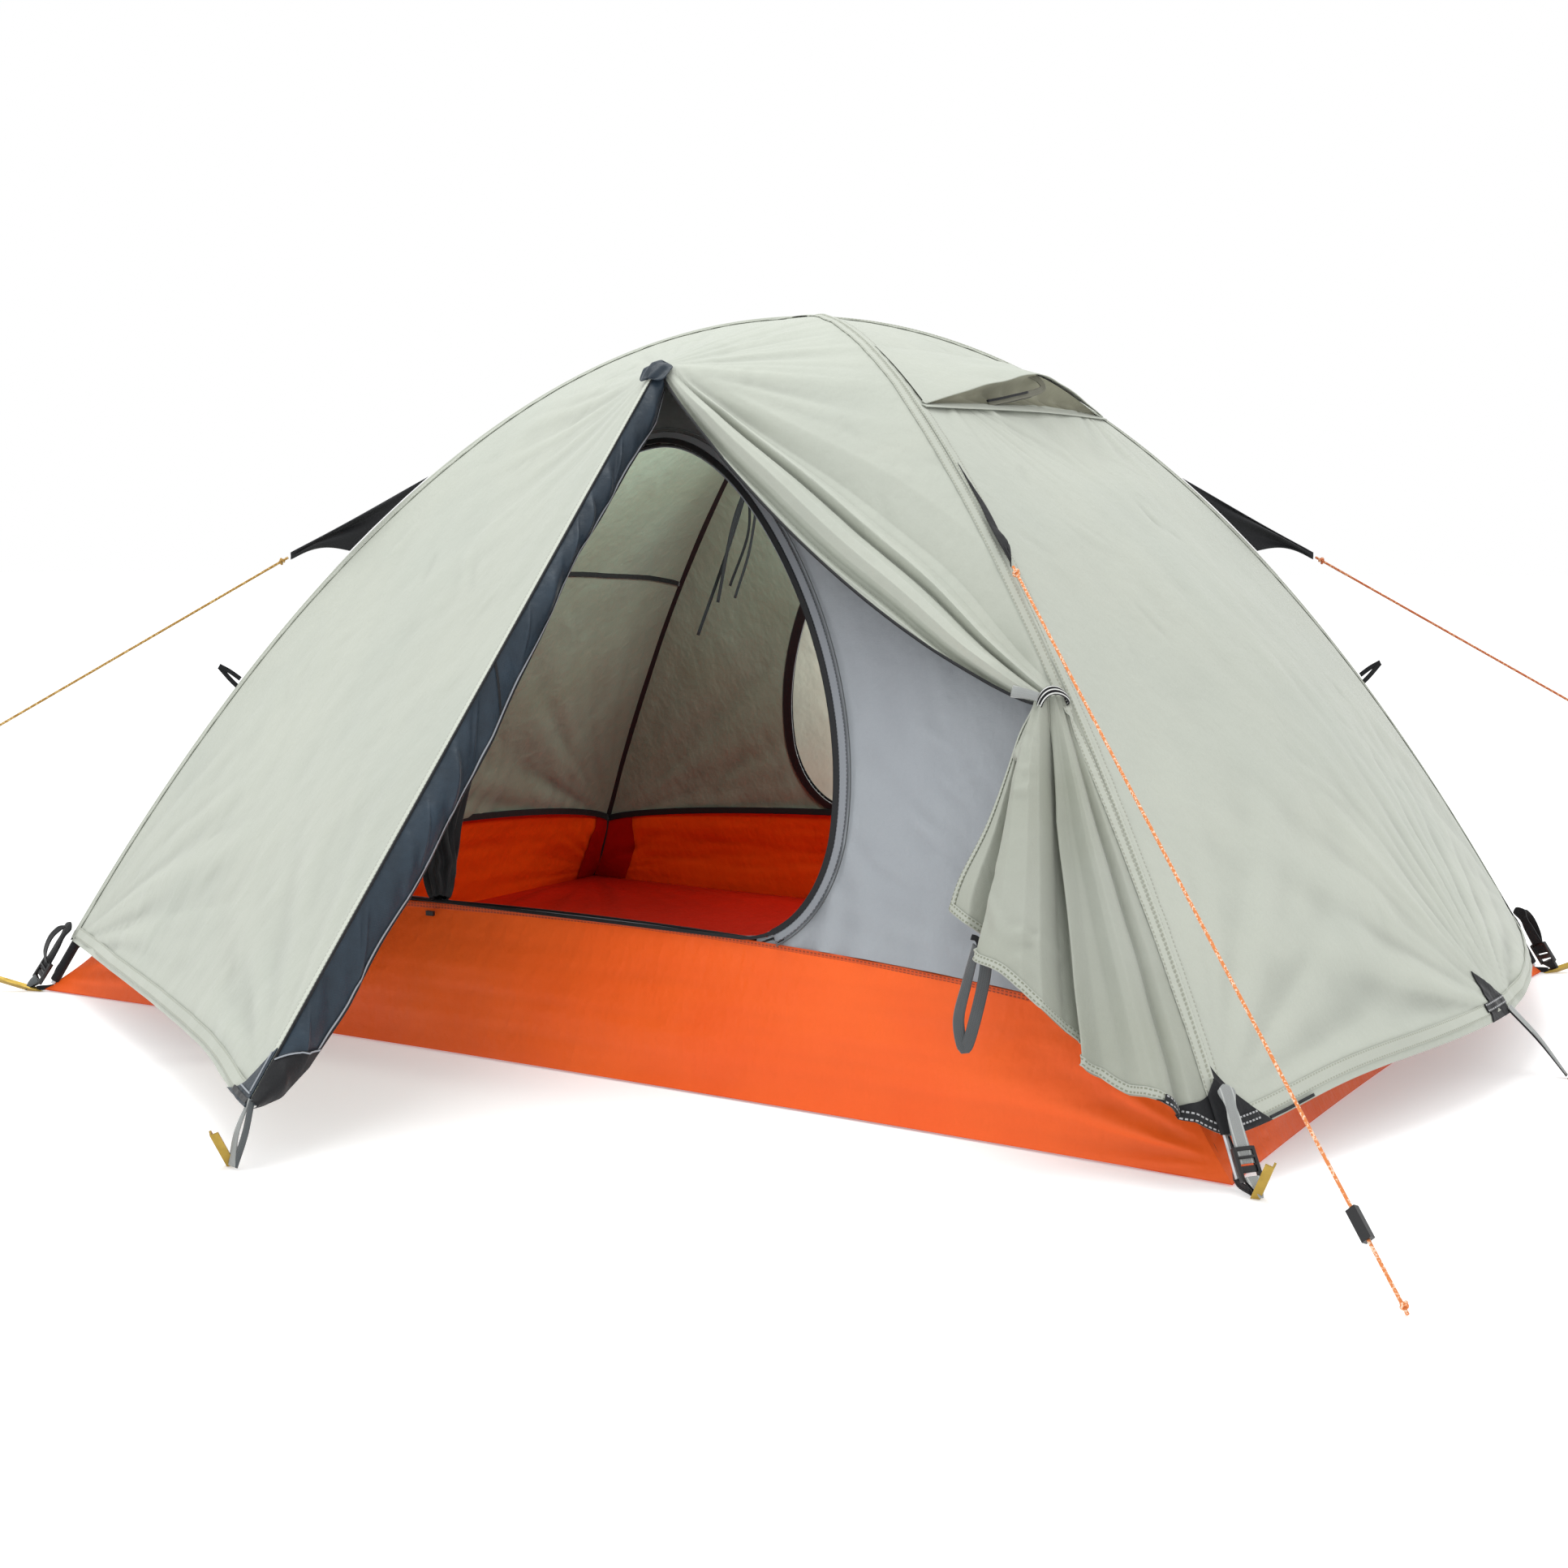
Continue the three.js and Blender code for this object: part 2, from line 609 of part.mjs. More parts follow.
const TAB_TS = [0.5, 0.58]; // where on the seam each tab is sewn
const TAB_TIPS = {
  front_left: point(-700, -500, 726),
  front_right: point(610, -483, 719),
  rear_left: point(-610, 483, 719),
  rear_right: point(700, 500, 726),
};
const LINE_ENDS = {
  front_left: point(-1130, -806, 422),
  front_right: point(1316, -1043, GUYLINE_RADIUS),
  rear_right: point(1105, 789, 455),
};

function guyTab(corner, tip) {
  const [clearOfCloth, rise] = [2.5, 0.6];
  const outward = point(corner.x * DIAGONAL.x, corner.y * DIAGONAL.y, rise).normalize();
  const [top, bottom] = TAB_TS.map((t) => flySeam(corner, t).addScaledVector(outward, clearOfCloth));
  const narrowing = 0.94; // the tip is a short edge
  return sheet((u, v) => top.clone().lerp(bottom, u).lerp(tip, narrowing * v), 1, 4);
}

function guyline(tip, end) {
  const besideTab = 0.008;
  const start = tip.clone().lerp(end, besideTab);
  return tube([start, start.clone().lerp(end, 0.5), end], GUYLINE_RADIUS, 40);
}

for (const [name, corner] of Object.entries(CORNERS)) {
  addPart(`${name}_guy_tab`, guyTab(corner, TAB_TIPS[name]), BLACK_WEBBING);
  if (LINE_ENDS[name]) addPart(`${name}_guyline`, guyline(TAB_TIPS[name], LINE_ENDS[name]), ORANGE_CORD);
}

const TENSIONER = { halfWidth: 6, halfThickness: 4, length: 38, alongLine: 0.91 };
function tensioner() {
  const { halfWidth, halfThickness, length } = TENSIONER;
  const outline = new THREE.Shape()
    .moveTo(-halfWidth, -halfThickness)
    .lineTo(halfWidth, -halfThickness)
    .lineTo(halfWidth, halfThickness)
    .lineTo(-halfWidth, halfThickness);
  outline.holes.push(new THREE.Path().absarc(0, 0, GUYLINE_RADIUS + GAP, 0, 2 * Math.PI, true));
  return extrude(outline, length);
}
const groundEnd = LINE_ENDS.front_right;
const onLine = addPart("guyline_tensioner", tensioner(), BLACK_PLASTIC);
onLine.position.copy(TAB_TIPS.front_right).lerp(groundEnd, TENSIONER.alongLine);
onLine.lookAt(groundEnd);

export default tent;
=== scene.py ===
"""The visual model of the two-person cross-pole dome tent, in metres, in the frame of its CAD parts."""
import json
import math

import bmesh
import bpy
import numpy as np
from mathutils import Euler, Vector
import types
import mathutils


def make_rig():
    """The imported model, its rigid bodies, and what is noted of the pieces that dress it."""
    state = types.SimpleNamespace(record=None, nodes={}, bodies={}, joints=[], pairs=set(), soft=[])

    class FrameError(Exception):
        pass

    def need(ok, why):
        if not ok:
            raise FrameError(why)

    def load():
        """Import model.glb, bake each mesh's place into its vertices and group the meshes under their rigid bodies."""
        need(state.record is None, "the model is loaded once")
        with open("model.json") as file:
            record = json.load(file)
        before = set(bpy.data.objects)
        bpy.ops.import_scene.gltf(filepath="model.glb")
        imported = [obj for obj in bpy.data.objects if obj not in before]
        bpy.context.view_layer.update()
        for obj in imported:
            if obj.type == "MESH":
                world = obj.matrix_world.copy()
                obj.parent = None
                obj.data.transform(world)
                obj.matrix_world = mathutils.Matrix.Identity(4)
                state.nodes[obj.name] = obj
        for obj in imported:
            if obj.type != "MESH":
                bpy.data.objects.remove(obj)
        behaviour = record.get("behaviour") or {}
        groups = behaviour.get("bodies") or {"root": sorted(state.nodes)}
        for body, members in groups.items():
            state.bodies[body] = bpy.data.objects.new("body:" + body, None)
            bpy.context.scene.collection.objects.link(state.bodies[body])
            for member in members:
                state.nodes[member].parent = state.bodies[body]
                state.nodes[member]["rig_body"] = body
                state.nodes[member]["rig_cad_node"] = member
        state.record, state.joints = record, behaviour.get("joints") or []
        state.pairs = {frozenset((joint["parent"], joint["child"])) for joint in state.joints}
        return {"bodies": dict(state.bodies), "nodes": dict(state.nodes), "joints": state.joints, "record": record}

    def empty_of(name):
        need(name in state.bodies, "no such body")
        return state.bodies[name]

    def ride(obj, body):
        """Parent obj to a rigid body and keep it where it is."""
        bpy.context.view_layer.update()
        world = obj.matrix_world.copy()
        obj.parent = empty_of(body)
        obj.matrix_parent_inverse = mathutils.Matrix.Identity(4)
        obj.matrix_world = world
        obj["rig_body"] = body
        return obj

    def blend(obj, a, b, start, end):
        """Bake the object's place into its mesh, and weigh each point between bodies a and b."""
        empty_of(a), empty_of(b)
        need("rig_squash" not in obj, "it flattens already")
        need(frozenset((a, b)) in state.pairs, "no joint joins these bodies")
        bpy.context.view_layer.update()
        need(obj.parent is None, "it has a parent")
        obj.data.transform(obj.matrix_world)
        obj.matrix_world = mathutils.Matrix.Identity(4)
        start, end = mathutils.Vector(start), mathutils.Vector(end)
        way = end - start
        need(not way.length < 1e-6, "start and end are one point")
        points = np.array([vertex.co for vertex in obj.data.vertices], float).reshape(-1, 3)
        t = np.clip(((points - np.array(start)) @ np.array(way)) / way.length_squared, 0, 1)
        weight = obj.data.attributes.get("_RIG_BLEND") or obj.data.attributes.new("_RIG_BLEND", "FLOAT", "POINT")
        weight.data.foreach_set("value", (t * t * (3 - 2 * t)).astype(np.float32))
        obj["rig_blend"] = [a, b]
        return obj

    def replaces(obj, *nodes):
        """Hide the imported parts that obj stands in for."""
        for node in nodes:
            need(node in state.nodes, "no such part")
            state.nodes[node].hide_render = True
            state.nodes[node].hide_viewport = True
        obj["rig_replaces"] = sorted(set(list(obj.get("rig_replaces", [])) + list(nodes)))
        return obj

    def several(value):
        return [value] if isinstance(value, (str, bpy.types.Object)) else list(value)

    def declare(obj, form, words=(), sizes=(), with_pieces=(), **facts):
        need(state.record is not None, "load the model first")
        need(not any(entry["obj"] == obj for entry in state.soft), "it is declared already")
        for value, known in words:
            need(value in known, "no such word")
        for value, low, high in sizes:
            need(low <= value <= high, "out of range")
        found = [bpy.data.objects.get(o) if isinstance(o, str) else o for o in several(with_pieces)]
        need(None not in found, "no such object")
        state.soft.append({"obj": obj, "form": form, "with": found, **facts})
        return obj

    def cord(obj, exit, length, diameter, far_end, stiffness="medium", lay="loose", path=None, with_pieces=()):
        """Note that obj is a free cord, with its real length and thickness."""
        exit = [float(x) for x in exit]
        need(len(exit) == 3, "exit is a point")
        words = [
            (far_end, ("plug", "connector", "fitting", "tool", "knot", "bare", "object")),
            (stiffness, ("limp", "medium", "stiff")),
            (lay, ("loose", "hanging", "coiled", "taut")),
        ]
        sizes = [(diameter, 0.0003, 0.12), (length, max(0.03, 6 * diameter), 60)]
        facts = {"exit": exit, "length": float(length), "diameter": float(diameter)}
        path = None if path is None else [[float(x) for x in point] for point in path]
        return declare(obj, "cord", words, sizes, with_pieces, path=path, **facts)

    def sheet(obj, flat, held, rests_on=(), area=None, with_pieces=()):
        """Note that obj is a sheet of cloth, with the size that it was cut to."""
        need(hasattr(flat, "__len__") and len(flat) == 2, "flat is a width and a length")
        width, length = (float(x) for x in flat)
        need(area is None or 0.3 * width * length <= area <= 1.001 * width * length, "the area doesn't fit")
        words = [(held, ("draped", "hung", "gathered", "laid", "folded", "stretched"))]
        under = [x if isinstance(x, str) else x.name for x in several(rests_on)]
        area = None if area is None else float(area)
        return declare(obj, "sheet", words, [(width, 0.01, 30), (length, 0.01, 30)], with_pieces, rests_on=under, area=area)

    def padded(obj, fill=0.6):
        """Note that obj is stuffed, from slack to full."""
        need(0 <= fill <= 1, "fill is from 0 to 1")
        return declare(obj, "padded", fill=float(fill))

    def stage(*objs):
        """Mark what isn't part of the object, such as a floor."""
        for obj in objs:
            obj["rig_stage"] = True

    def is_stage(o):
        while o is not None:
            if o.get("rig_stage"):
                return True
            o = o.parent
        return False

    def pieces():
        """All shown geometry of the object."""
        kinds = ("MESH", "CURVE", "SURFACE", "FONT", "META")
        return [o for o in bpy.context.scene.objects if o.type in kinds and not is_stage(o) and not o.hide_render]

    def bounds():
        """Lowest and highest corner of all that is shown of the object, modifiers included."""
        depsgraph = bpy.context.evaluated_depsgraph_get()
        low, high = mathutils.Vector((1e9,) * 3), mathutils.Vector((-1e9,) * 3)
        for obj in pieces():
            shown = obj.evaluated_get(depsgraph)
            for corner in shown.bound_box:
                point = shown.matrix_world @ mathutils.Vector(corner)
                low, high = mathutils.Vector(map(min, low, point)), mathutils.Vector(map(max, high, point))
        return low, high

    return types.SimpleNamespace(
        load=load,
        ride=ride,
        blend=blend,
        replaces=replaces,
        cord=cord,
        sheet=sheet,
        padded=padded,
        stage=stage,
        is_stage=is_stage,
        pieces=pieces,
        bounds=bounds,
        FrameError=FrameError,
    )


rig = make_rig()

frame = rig.load()
CAD_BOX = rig.bounds()

# ---- camera ----

LENS_MM, CAMERA_PLACE = 47.99, (1.843, -3.011, 0.733)
CAMERA_DOWN, CAMERA_TURN = 6.34, 32.16  # degrees

scene = bpy.context.scene


def new_object(name, data):
    made = bpy.data.objects.new(name, data)
    scene.collection.objects.link(made)
    return made


camera_data = bpy.data.cameras.new("camera")
camera_data.lens = LENS_MM
camera_data.sensor_width = 36.0
camera_data.clip_end = 200.0
camera = new_object("camera", camera_data)
camera.location = CAMERA_PLACE
camera.rotation_euler = Euler((math.radians(90 - CAMERA_DOWN), 0, math.radians(CAMERA_TURN)), "XYZ")
scene.camera = camera

# ---- the tent's lines, as in its CAD parts ----

DIAGONAL = np.array([1.050, 0.750]) / math.hypot(1.050, 0.750)
FLY = (1.290, 1.118)
INNER = (1.245, 1.050)
POLE = (1.280, 1.105)
HEM_T = 1.240 / 1.290
ZIP_T, TIE_T = 0.36, 0.72
ZIP_TOP = np.array([0, -0.430, 1.010])
ZIP_FOOT = np.array([0, -1.270, 0.090])
TIE = np.array([0.703, -0.565, 0.541])
SIDE_PULL = 0.158
FL, FR, RL, RR = (-1, -1), (1, -1), (-1, 1), (1, 1)
CORNERS = {"front_left": FL, "front_right": FR, "rear_left": RL, "rear_right": RR}
UP = np.array([0, 0, 1.0])
CROWN_T = 0.004  # cloth and seams start this far down an arch


def point(*values):
    return np.array(values, float)


def lerp(a, b, share):
    return a + (b - a) * share


def between(first, second, share):
    """Points between two rows or grids of points: the first at share 0, the second at share 1."""
    return first * (1 - share[..., None]) + second * share[..., None]


def unit(vectors):
    return vectors / np.maximum(np.linalg.norm(vectors, axis=-1, keepdims=True), 1e-12)


def arch(corner, t, size=FLY):
    """The arch over one corner, t = 0 at the crown and 1 at the ground."""
    t = np.asarray(t, float)
    bow = np.zeros_like(t)
    if corner[0] * corner[1] < 0:
        bow = np.minimum(10 * t, 1) * np.sin(np.pi * np.minimum(t / HEM_T, 1) ** 0.75)
    reach, height = size
    x = corner[0] * (t * reach * DIAGONAL[0] - bow * 0.036)
    y = corner[1] * (t * reach * DIAGONAL[1] + bow * 0.022)
    return np.stack([x, y, height * (1 - t * t)], axis=-1)


def ridge(t):
    share = np.asarray(t, float) / ZIP_T
    drop = np.sign(share) * np.abs(share) ** 1.4
    return np.stack([0 * share, ZIP_TOP[1] * share, lerp(FLY[1], ZIP_TOP[2], drop)], axis=-1)


def zip_point(share):
    share = np.asarray(share, float)
    return ZIP_TOP + (ZIP_FOOT - ZIP_TOP) * share[..., None]


def drawn_out(points):
    """The straps draw the front-right hem corner and the zip's foot down and out."""
    offset = points - ZIP_FOOT
    points = points + point(0, -0.016, -0.019) * np.exp(-((offset ** 2).sum(-1) / 0.20 ** 2))[..., None]
    offset = points - arch(FR, HEM_T)
    along = offset @ point(DIAGONAL[1], DIAGONAL[0], 0)
    square = (offset ** 2).sum(-1) - along ** 2
    near = np.exp(-square / 0.13 ** 2 - (along / np.where(along > 0, 0.20, 0.055)) ** 2)
    return points + point(0.011, -0.008, -0.027) * near[..., None]


def door_share(t):
    return (t - ZIP_T) / (HEM_T - ZIP_T)


def turned(points):
    """The same points half a turn about Z: the rear of the tent is its front turned round."""
    return points * point(-1, -1, 1)


def same(points):
    return points


ENDS = (("front", same), ("rear", turned))
SIDES = (("right", same), ("left", turned))


# ---- sheets of cloth as grids of points ----

def normals_of(points):
    along_u = np.gradient(points, axis=1)
    along_v = np.gradient(points, axis=0)
    normal = np.cross(along_u, along_v)
    length = np.linalg.norm(normal, axis=-1, keepdims=True)
    return np.where(length > 1e-12, normal / np.maximum(length, 1e-12), UP)


class Cloth:
    """A grid of points, rows along v and columns along u, that other pieces can be laid on."""

    def __init__(self, points):
        self.points = points
        self.normals = normals_of(points)

    def pushed(self, depth):
        return Cloth(self.points + self.normals * depth[..., None])

    def at(self, u, v, lift=0.0):
        rows, columns = self.points.shape[:2]
        x = np.clip(u, 0, 1) * (columns - 1)
        y = np.clip(v, 0, 1) * (rows - 1)
        i = np.minimum(np.floor(x).astype(int), columns - 2)
        j = np.minimum(np.floor(y).astype(int), rows - 2)
        a, b = (x - i)[..., None], (y - j)[..., None]

        def mixed(grid):
            near = grid[j, i] * (1 - a) + grid[j, i + 1] * a
            far = grid[j + 1, i] * (1 - a) + grid[j + 1, i + 1] * a
            return near * (1 - b) + far * b

        return mixed(self.points) + unit(mixed(self.normals)) * lift, unit(mixed(self.normals))


def lattice(rows, columns):
    v, u = np.meshgrid(np.linspace(0, 1, rows), np.linspace(0, 1, columns), indexing="ij")
    return u, v


def murmur(points, size, seed):
    """Soft unevenness from -1 to 1, about size across."""
    rng = np.random.default_rng(seed)
    total = 0
    for _ in range(8):
        direction = unit(rng.normal(size=3))
        rate = 2 * np.pi / size * rng.uniform(0.6, 1.5)
        total = total + np.sin(points @ direction * rate + rng.uniform(0, 2 * np.pi))
    return total / 5


def rays(points, focus, first, second, reach, count, depth, seed):
    """Folds that run out from a pulled point and die away."""
    offset = points - focus
    distance = np.linalg.norm(offset, axis=-1)
    angle = np.arctan2(offset @ unit(second), offset @ unit(first))
    rng = np.random.default_rng(seed)
    total = 0
    for k in range(4):
        rate = count * rng.uniform(0.6, 1.4)
        wave = 0.5 + 0.5 * np.cos(angle * rate + rng.uniform(0, 6) + 0.5 * np.sin(distance * 9 + k))
        total = total + wave ** 3 * rng.uniform(0.5, 1)
    share = distance / reach
    return depth * (total / 2 - 0.35) * share * np.exp(1 - share) * np.exp(-share ** 3 * 0.05)


def pulled_corners(points, left, right, side, reach, count, depth, seed):
    """Folds that run in from the two lower corners of a sheet."""
    first = rays(points, left, side, UP, reach, count, depth, seed)
    return first + rays(points, right, -side, UP, reach, count, depth, seed + 1)


def hump(x, middle, width):
    return np.exp(-(((x - middle) / width) ** 2))


def pinches(points, marks, width=0.011):
    """Short sharp creases: each mark is its two ends and its height."""
    total = 0
    for start, end, height in marks:
        way = unit(end - start)
        offset = points - (start + end) / 2
        along = offset @ way
        across = np.linalg.norm(offset - along[..., None] * way, axis=-1)
        half = np.linalg.norm(end - start) / 2
        profile = np.exp(-(across / width) ** 2) - 0.4 * np.exp(-(across / width / 2.4) ** 2)
        total = total + height * profile * np.exp(-(along / half) ** 4)
    return total


def scattered(points, count, seed, length=(0.03, 0.09), height=(0.0012, 0.0032)):
    """Creases strewn over a sheet, most of them running down it."""
    rng = np.random.default_rng(seed)
    rows, columns = points.shape[:2]
    marks = []
    for _ in range(count):
        row, column = rng.integers(rows // 8, rows - 12), rng.integers(8, columns - 8)
        other_row = min(row + rng.integers(4, 12), rows - 1)
        other = points[other_row, min(max(column + rng.integers(-12, 13), 0), columns - 1)]
        start = points[row, column]
        end = start + unit(other - start) * rng.uniform(*length)
        marks.append((start, end, rng.uniform(*height) * rng.choice([-1, 1])))
    return pinches(points, marks)


def arc_lengths(points, axis):
    steps = np.linalg.norm(np.diff(points, axis=axis), axis=-1)
    zero = np.zeros_like(np.take(steps, [0], axis=axis))
    return np.concatenate([zero, np.cumsum(steps, axis=axis)], axis=axis)


def mesh_object(name, vertices, faces, uvs, material, hollow=None):
    mesh = bpy.data.meshes.new(name)
    mesh.from_pydata([tuple(p) for p in vertices], [], faces)
    layer = mesh.uv_layers.new(name="cloth")
    corner_vertices = np.empty(len(mesh.loops), np.int32)
    mesh.loops.foreach_get("vertex_index", corner_vertices)
    layer.data.foreach_set("uv", np.asarray(uvs, np.float32)[corner_vertices].ravel())
    mesh.materials.append(material)
    mesh.polygons.foreach_set("use_smooth", [True] * len(mesh.polygons))
    if hollow is not None:
        mesh.attributes.new("hollow", "FLOAT", "POINT").data.foreach_set("value", np.asarray(hollow, np.float32))
    mesh.update()
    return new_object(name, mesh)


def hollows(cloth, side):
    """How far each spot lies below the cloth around it, -1 to 1, as seen from outside or from inside; the cloth
    materials paint shade into its hollows and a highlight onto its ridges from it.
    """
    reach = 4
    rows, columns = cloth.points.shape[:2]
    around = np.pad(cloth.points, ((reach, reach), (reach, reach), (0, 0)), mode="reflect", reflect_type="odd")
    steps = range(0, 2 * reach + 1, 2)
    mean = sum(around[i:i + rows, j:j + columns] for i in steps for j in steps) / len(steps) ** 2
    return np.clip(side * ((mean - cloth.points) * cloth.normals).sum(-1) / 0.0035, -1, 1)


def facing_out(cloth):
    """1 where the sheet's normals already point away from the tent, -1 where they point in."""
    rows, columns = cloth.points.shape[:2]
    middle = cloth.points[rows // 2, columns // 2] - point(0, 0, 0.1)
    return 1 if cloth.normals[rows // 2, columns // 2] @ middle > 0 else -1


def outward_cloth(points):
    """A sheet whose normals point away from the tent."""
    cloth = Cloth(points)
    cloth.normals = cloth.normals * facing_out(cloth)
    return cloth


CUTS = {}


def sheet_object(name, cloth, material, thick=0.0, keep=None, seen=1):
    """A mesh of the grid; with thick it is a closed sheet, with keep only the cells it picks."""
    CUTS[name] = cloth, keep
    points = cloth.points
    rows, columns = points.shape[:2]
    # How deep each point lies in a fold: the cloth materials paint shade and highlight from it.
    hollow = hollows(cloth, seen * facing_out(cloth)).ravel() if min(rows, columns) > 19 else None
    index = np.arange(rows * columns).reshape(rows, columns)
    cells = np.stack([index[:-1, :-1], index[:-1, 1:], index[1:, 1:], index[1:, :-1]], axis=-1)
    cells = cells[keep] if keep is not None else cells.reshape(-1, 4)
    across = arc_lengths(points, 1)
    along = arc_lengths(points, 0)
    uv = np.stack([across - across[:, -1:] / 2, np.broadcast_to(along[:, columns // 2, None], across.shape)], -1)
    uv = uv.reshape(-1, 2)
    if not thick:
        return mesh_object(name, points.reshape(-1, 3), cells.tolist(), uv, material, hollow)
    top = (points + cloth.normals * thick / 2).reshape(-1, 3)
    under = (points - cloth.normals * thick / 2).reshape(-1, 3)
    count = rows * columns
    rim = np.concatenate([index[0, :-1], index[:-1, -1], index[-1, :0:-1], index[:0:-1, 0]])
    following = np.roll(rim, -1)
    sides = np.stack([following, rim, rim + count, following + count], axis=-1)
    faces = np.concatenate([cells, cells[:, ::-1] + count, sides])
    both = None if hollow is None else np.concatenate([hollow, hollow])
    return mesh_object(name, np.concatenate([top, under]), faces.tolist(), np.concatenate([uv, uv]), material, both)


def smooth_path(controls, count):
    """A rounded path through the control points, evenly spaced."""
    controls = np.asarray(controls, float)
    padded = np.concatenate([[2 * controls[0] - controls[1]], controls, [2 * controls[-1] - controls[-2]]])
    fine = []
    for k in range(len(controls) - 1):
        a, b, c, d = padded[k:k + 4]
        s = np.linspace(0, 1, 24, endpoint=False)[:, None]
        square, cube = 2 * a - 5 * b + 4 * c - d, 3 * b - a - 3 * c + d
        fine.append(0.5 * (2 * b + (c - a) * s + square * s ** 2 + cube * s ** 3))
    fine = np.concatenate(fine + [controls[-1:]])
    length = arc_lengths(fine[None], 1)[0]
    even = np.linspace(0, length[-1], count)
    return np.stack([np.interp(even, length, fine[:, k]) for k in range(3)], axis=-1)


def strip_cloth(path, facing, width, crown=0.0, columns=7):
    """A narrow strip along a path, its width square to the path and to the way it faces."""
    path = np.asarray(path, float)
    facing = np.broadcast_to(np.asarray(facing, float), path.shape)
    tangent = unit(np.gradient(path, axis=0))
    side = unit(np.cross(tangent, facing))
    proud = unit(np.cross(side, tangent))
    width = np.broadcast_to(np.asarray(width, float), len(path))
    s = np.linspace(-0.5, 0.5, columns)
    offset = side[:, None] * (s[None, :] * width[:, None])[..., None]
    lifted = proud[:, None] * (crown * (1 - 4 * s ** 2))[None, :, None]
    return Cloth(path[:, None] + offset + lifted)


def tube_cloth(path, radius, sides, folds=None):
    """The skin of a tube along a path; folds(angle, share) makes it uneven."""
    path = np.asarray(path, float)
    tangent = unit(np.gradient(path, axis=0))
    side = unit(np.cross(tangent, np.broadcast_to(UP, path.shape)))
    proud = np.cross(side, tangent)
    angle = np.linspace(0, 2 * np.pi, sides + 1)
    share = np.linspace(0, 1, len(path))
    radius = np.broadcast_to(np.asarray(radius, float), len(path))[:, None]
    radius = radius * (1 if folds is None else folds(angle[None, :], share[:, None])) + 0 * angle[None, :]
    ring = side[:, None] * np.cos(angle)[None, :, None] + proud[:, None] * np.sin(angle)[None, :, None]
    return Cloth(path[:, None] + ring * radius[..., None])


# ---- materials ----

def srgb(*channels):
    """A screen colour, 0 to 255, as the renderer's linear one."""
    return tuple(c / 255 / 12.92 if c <= 10 else ((c / 255 + 0.055) / 1.055) ** 2.4 for c in channels) + (1.0,)


THREAD_HALF = 0.0011


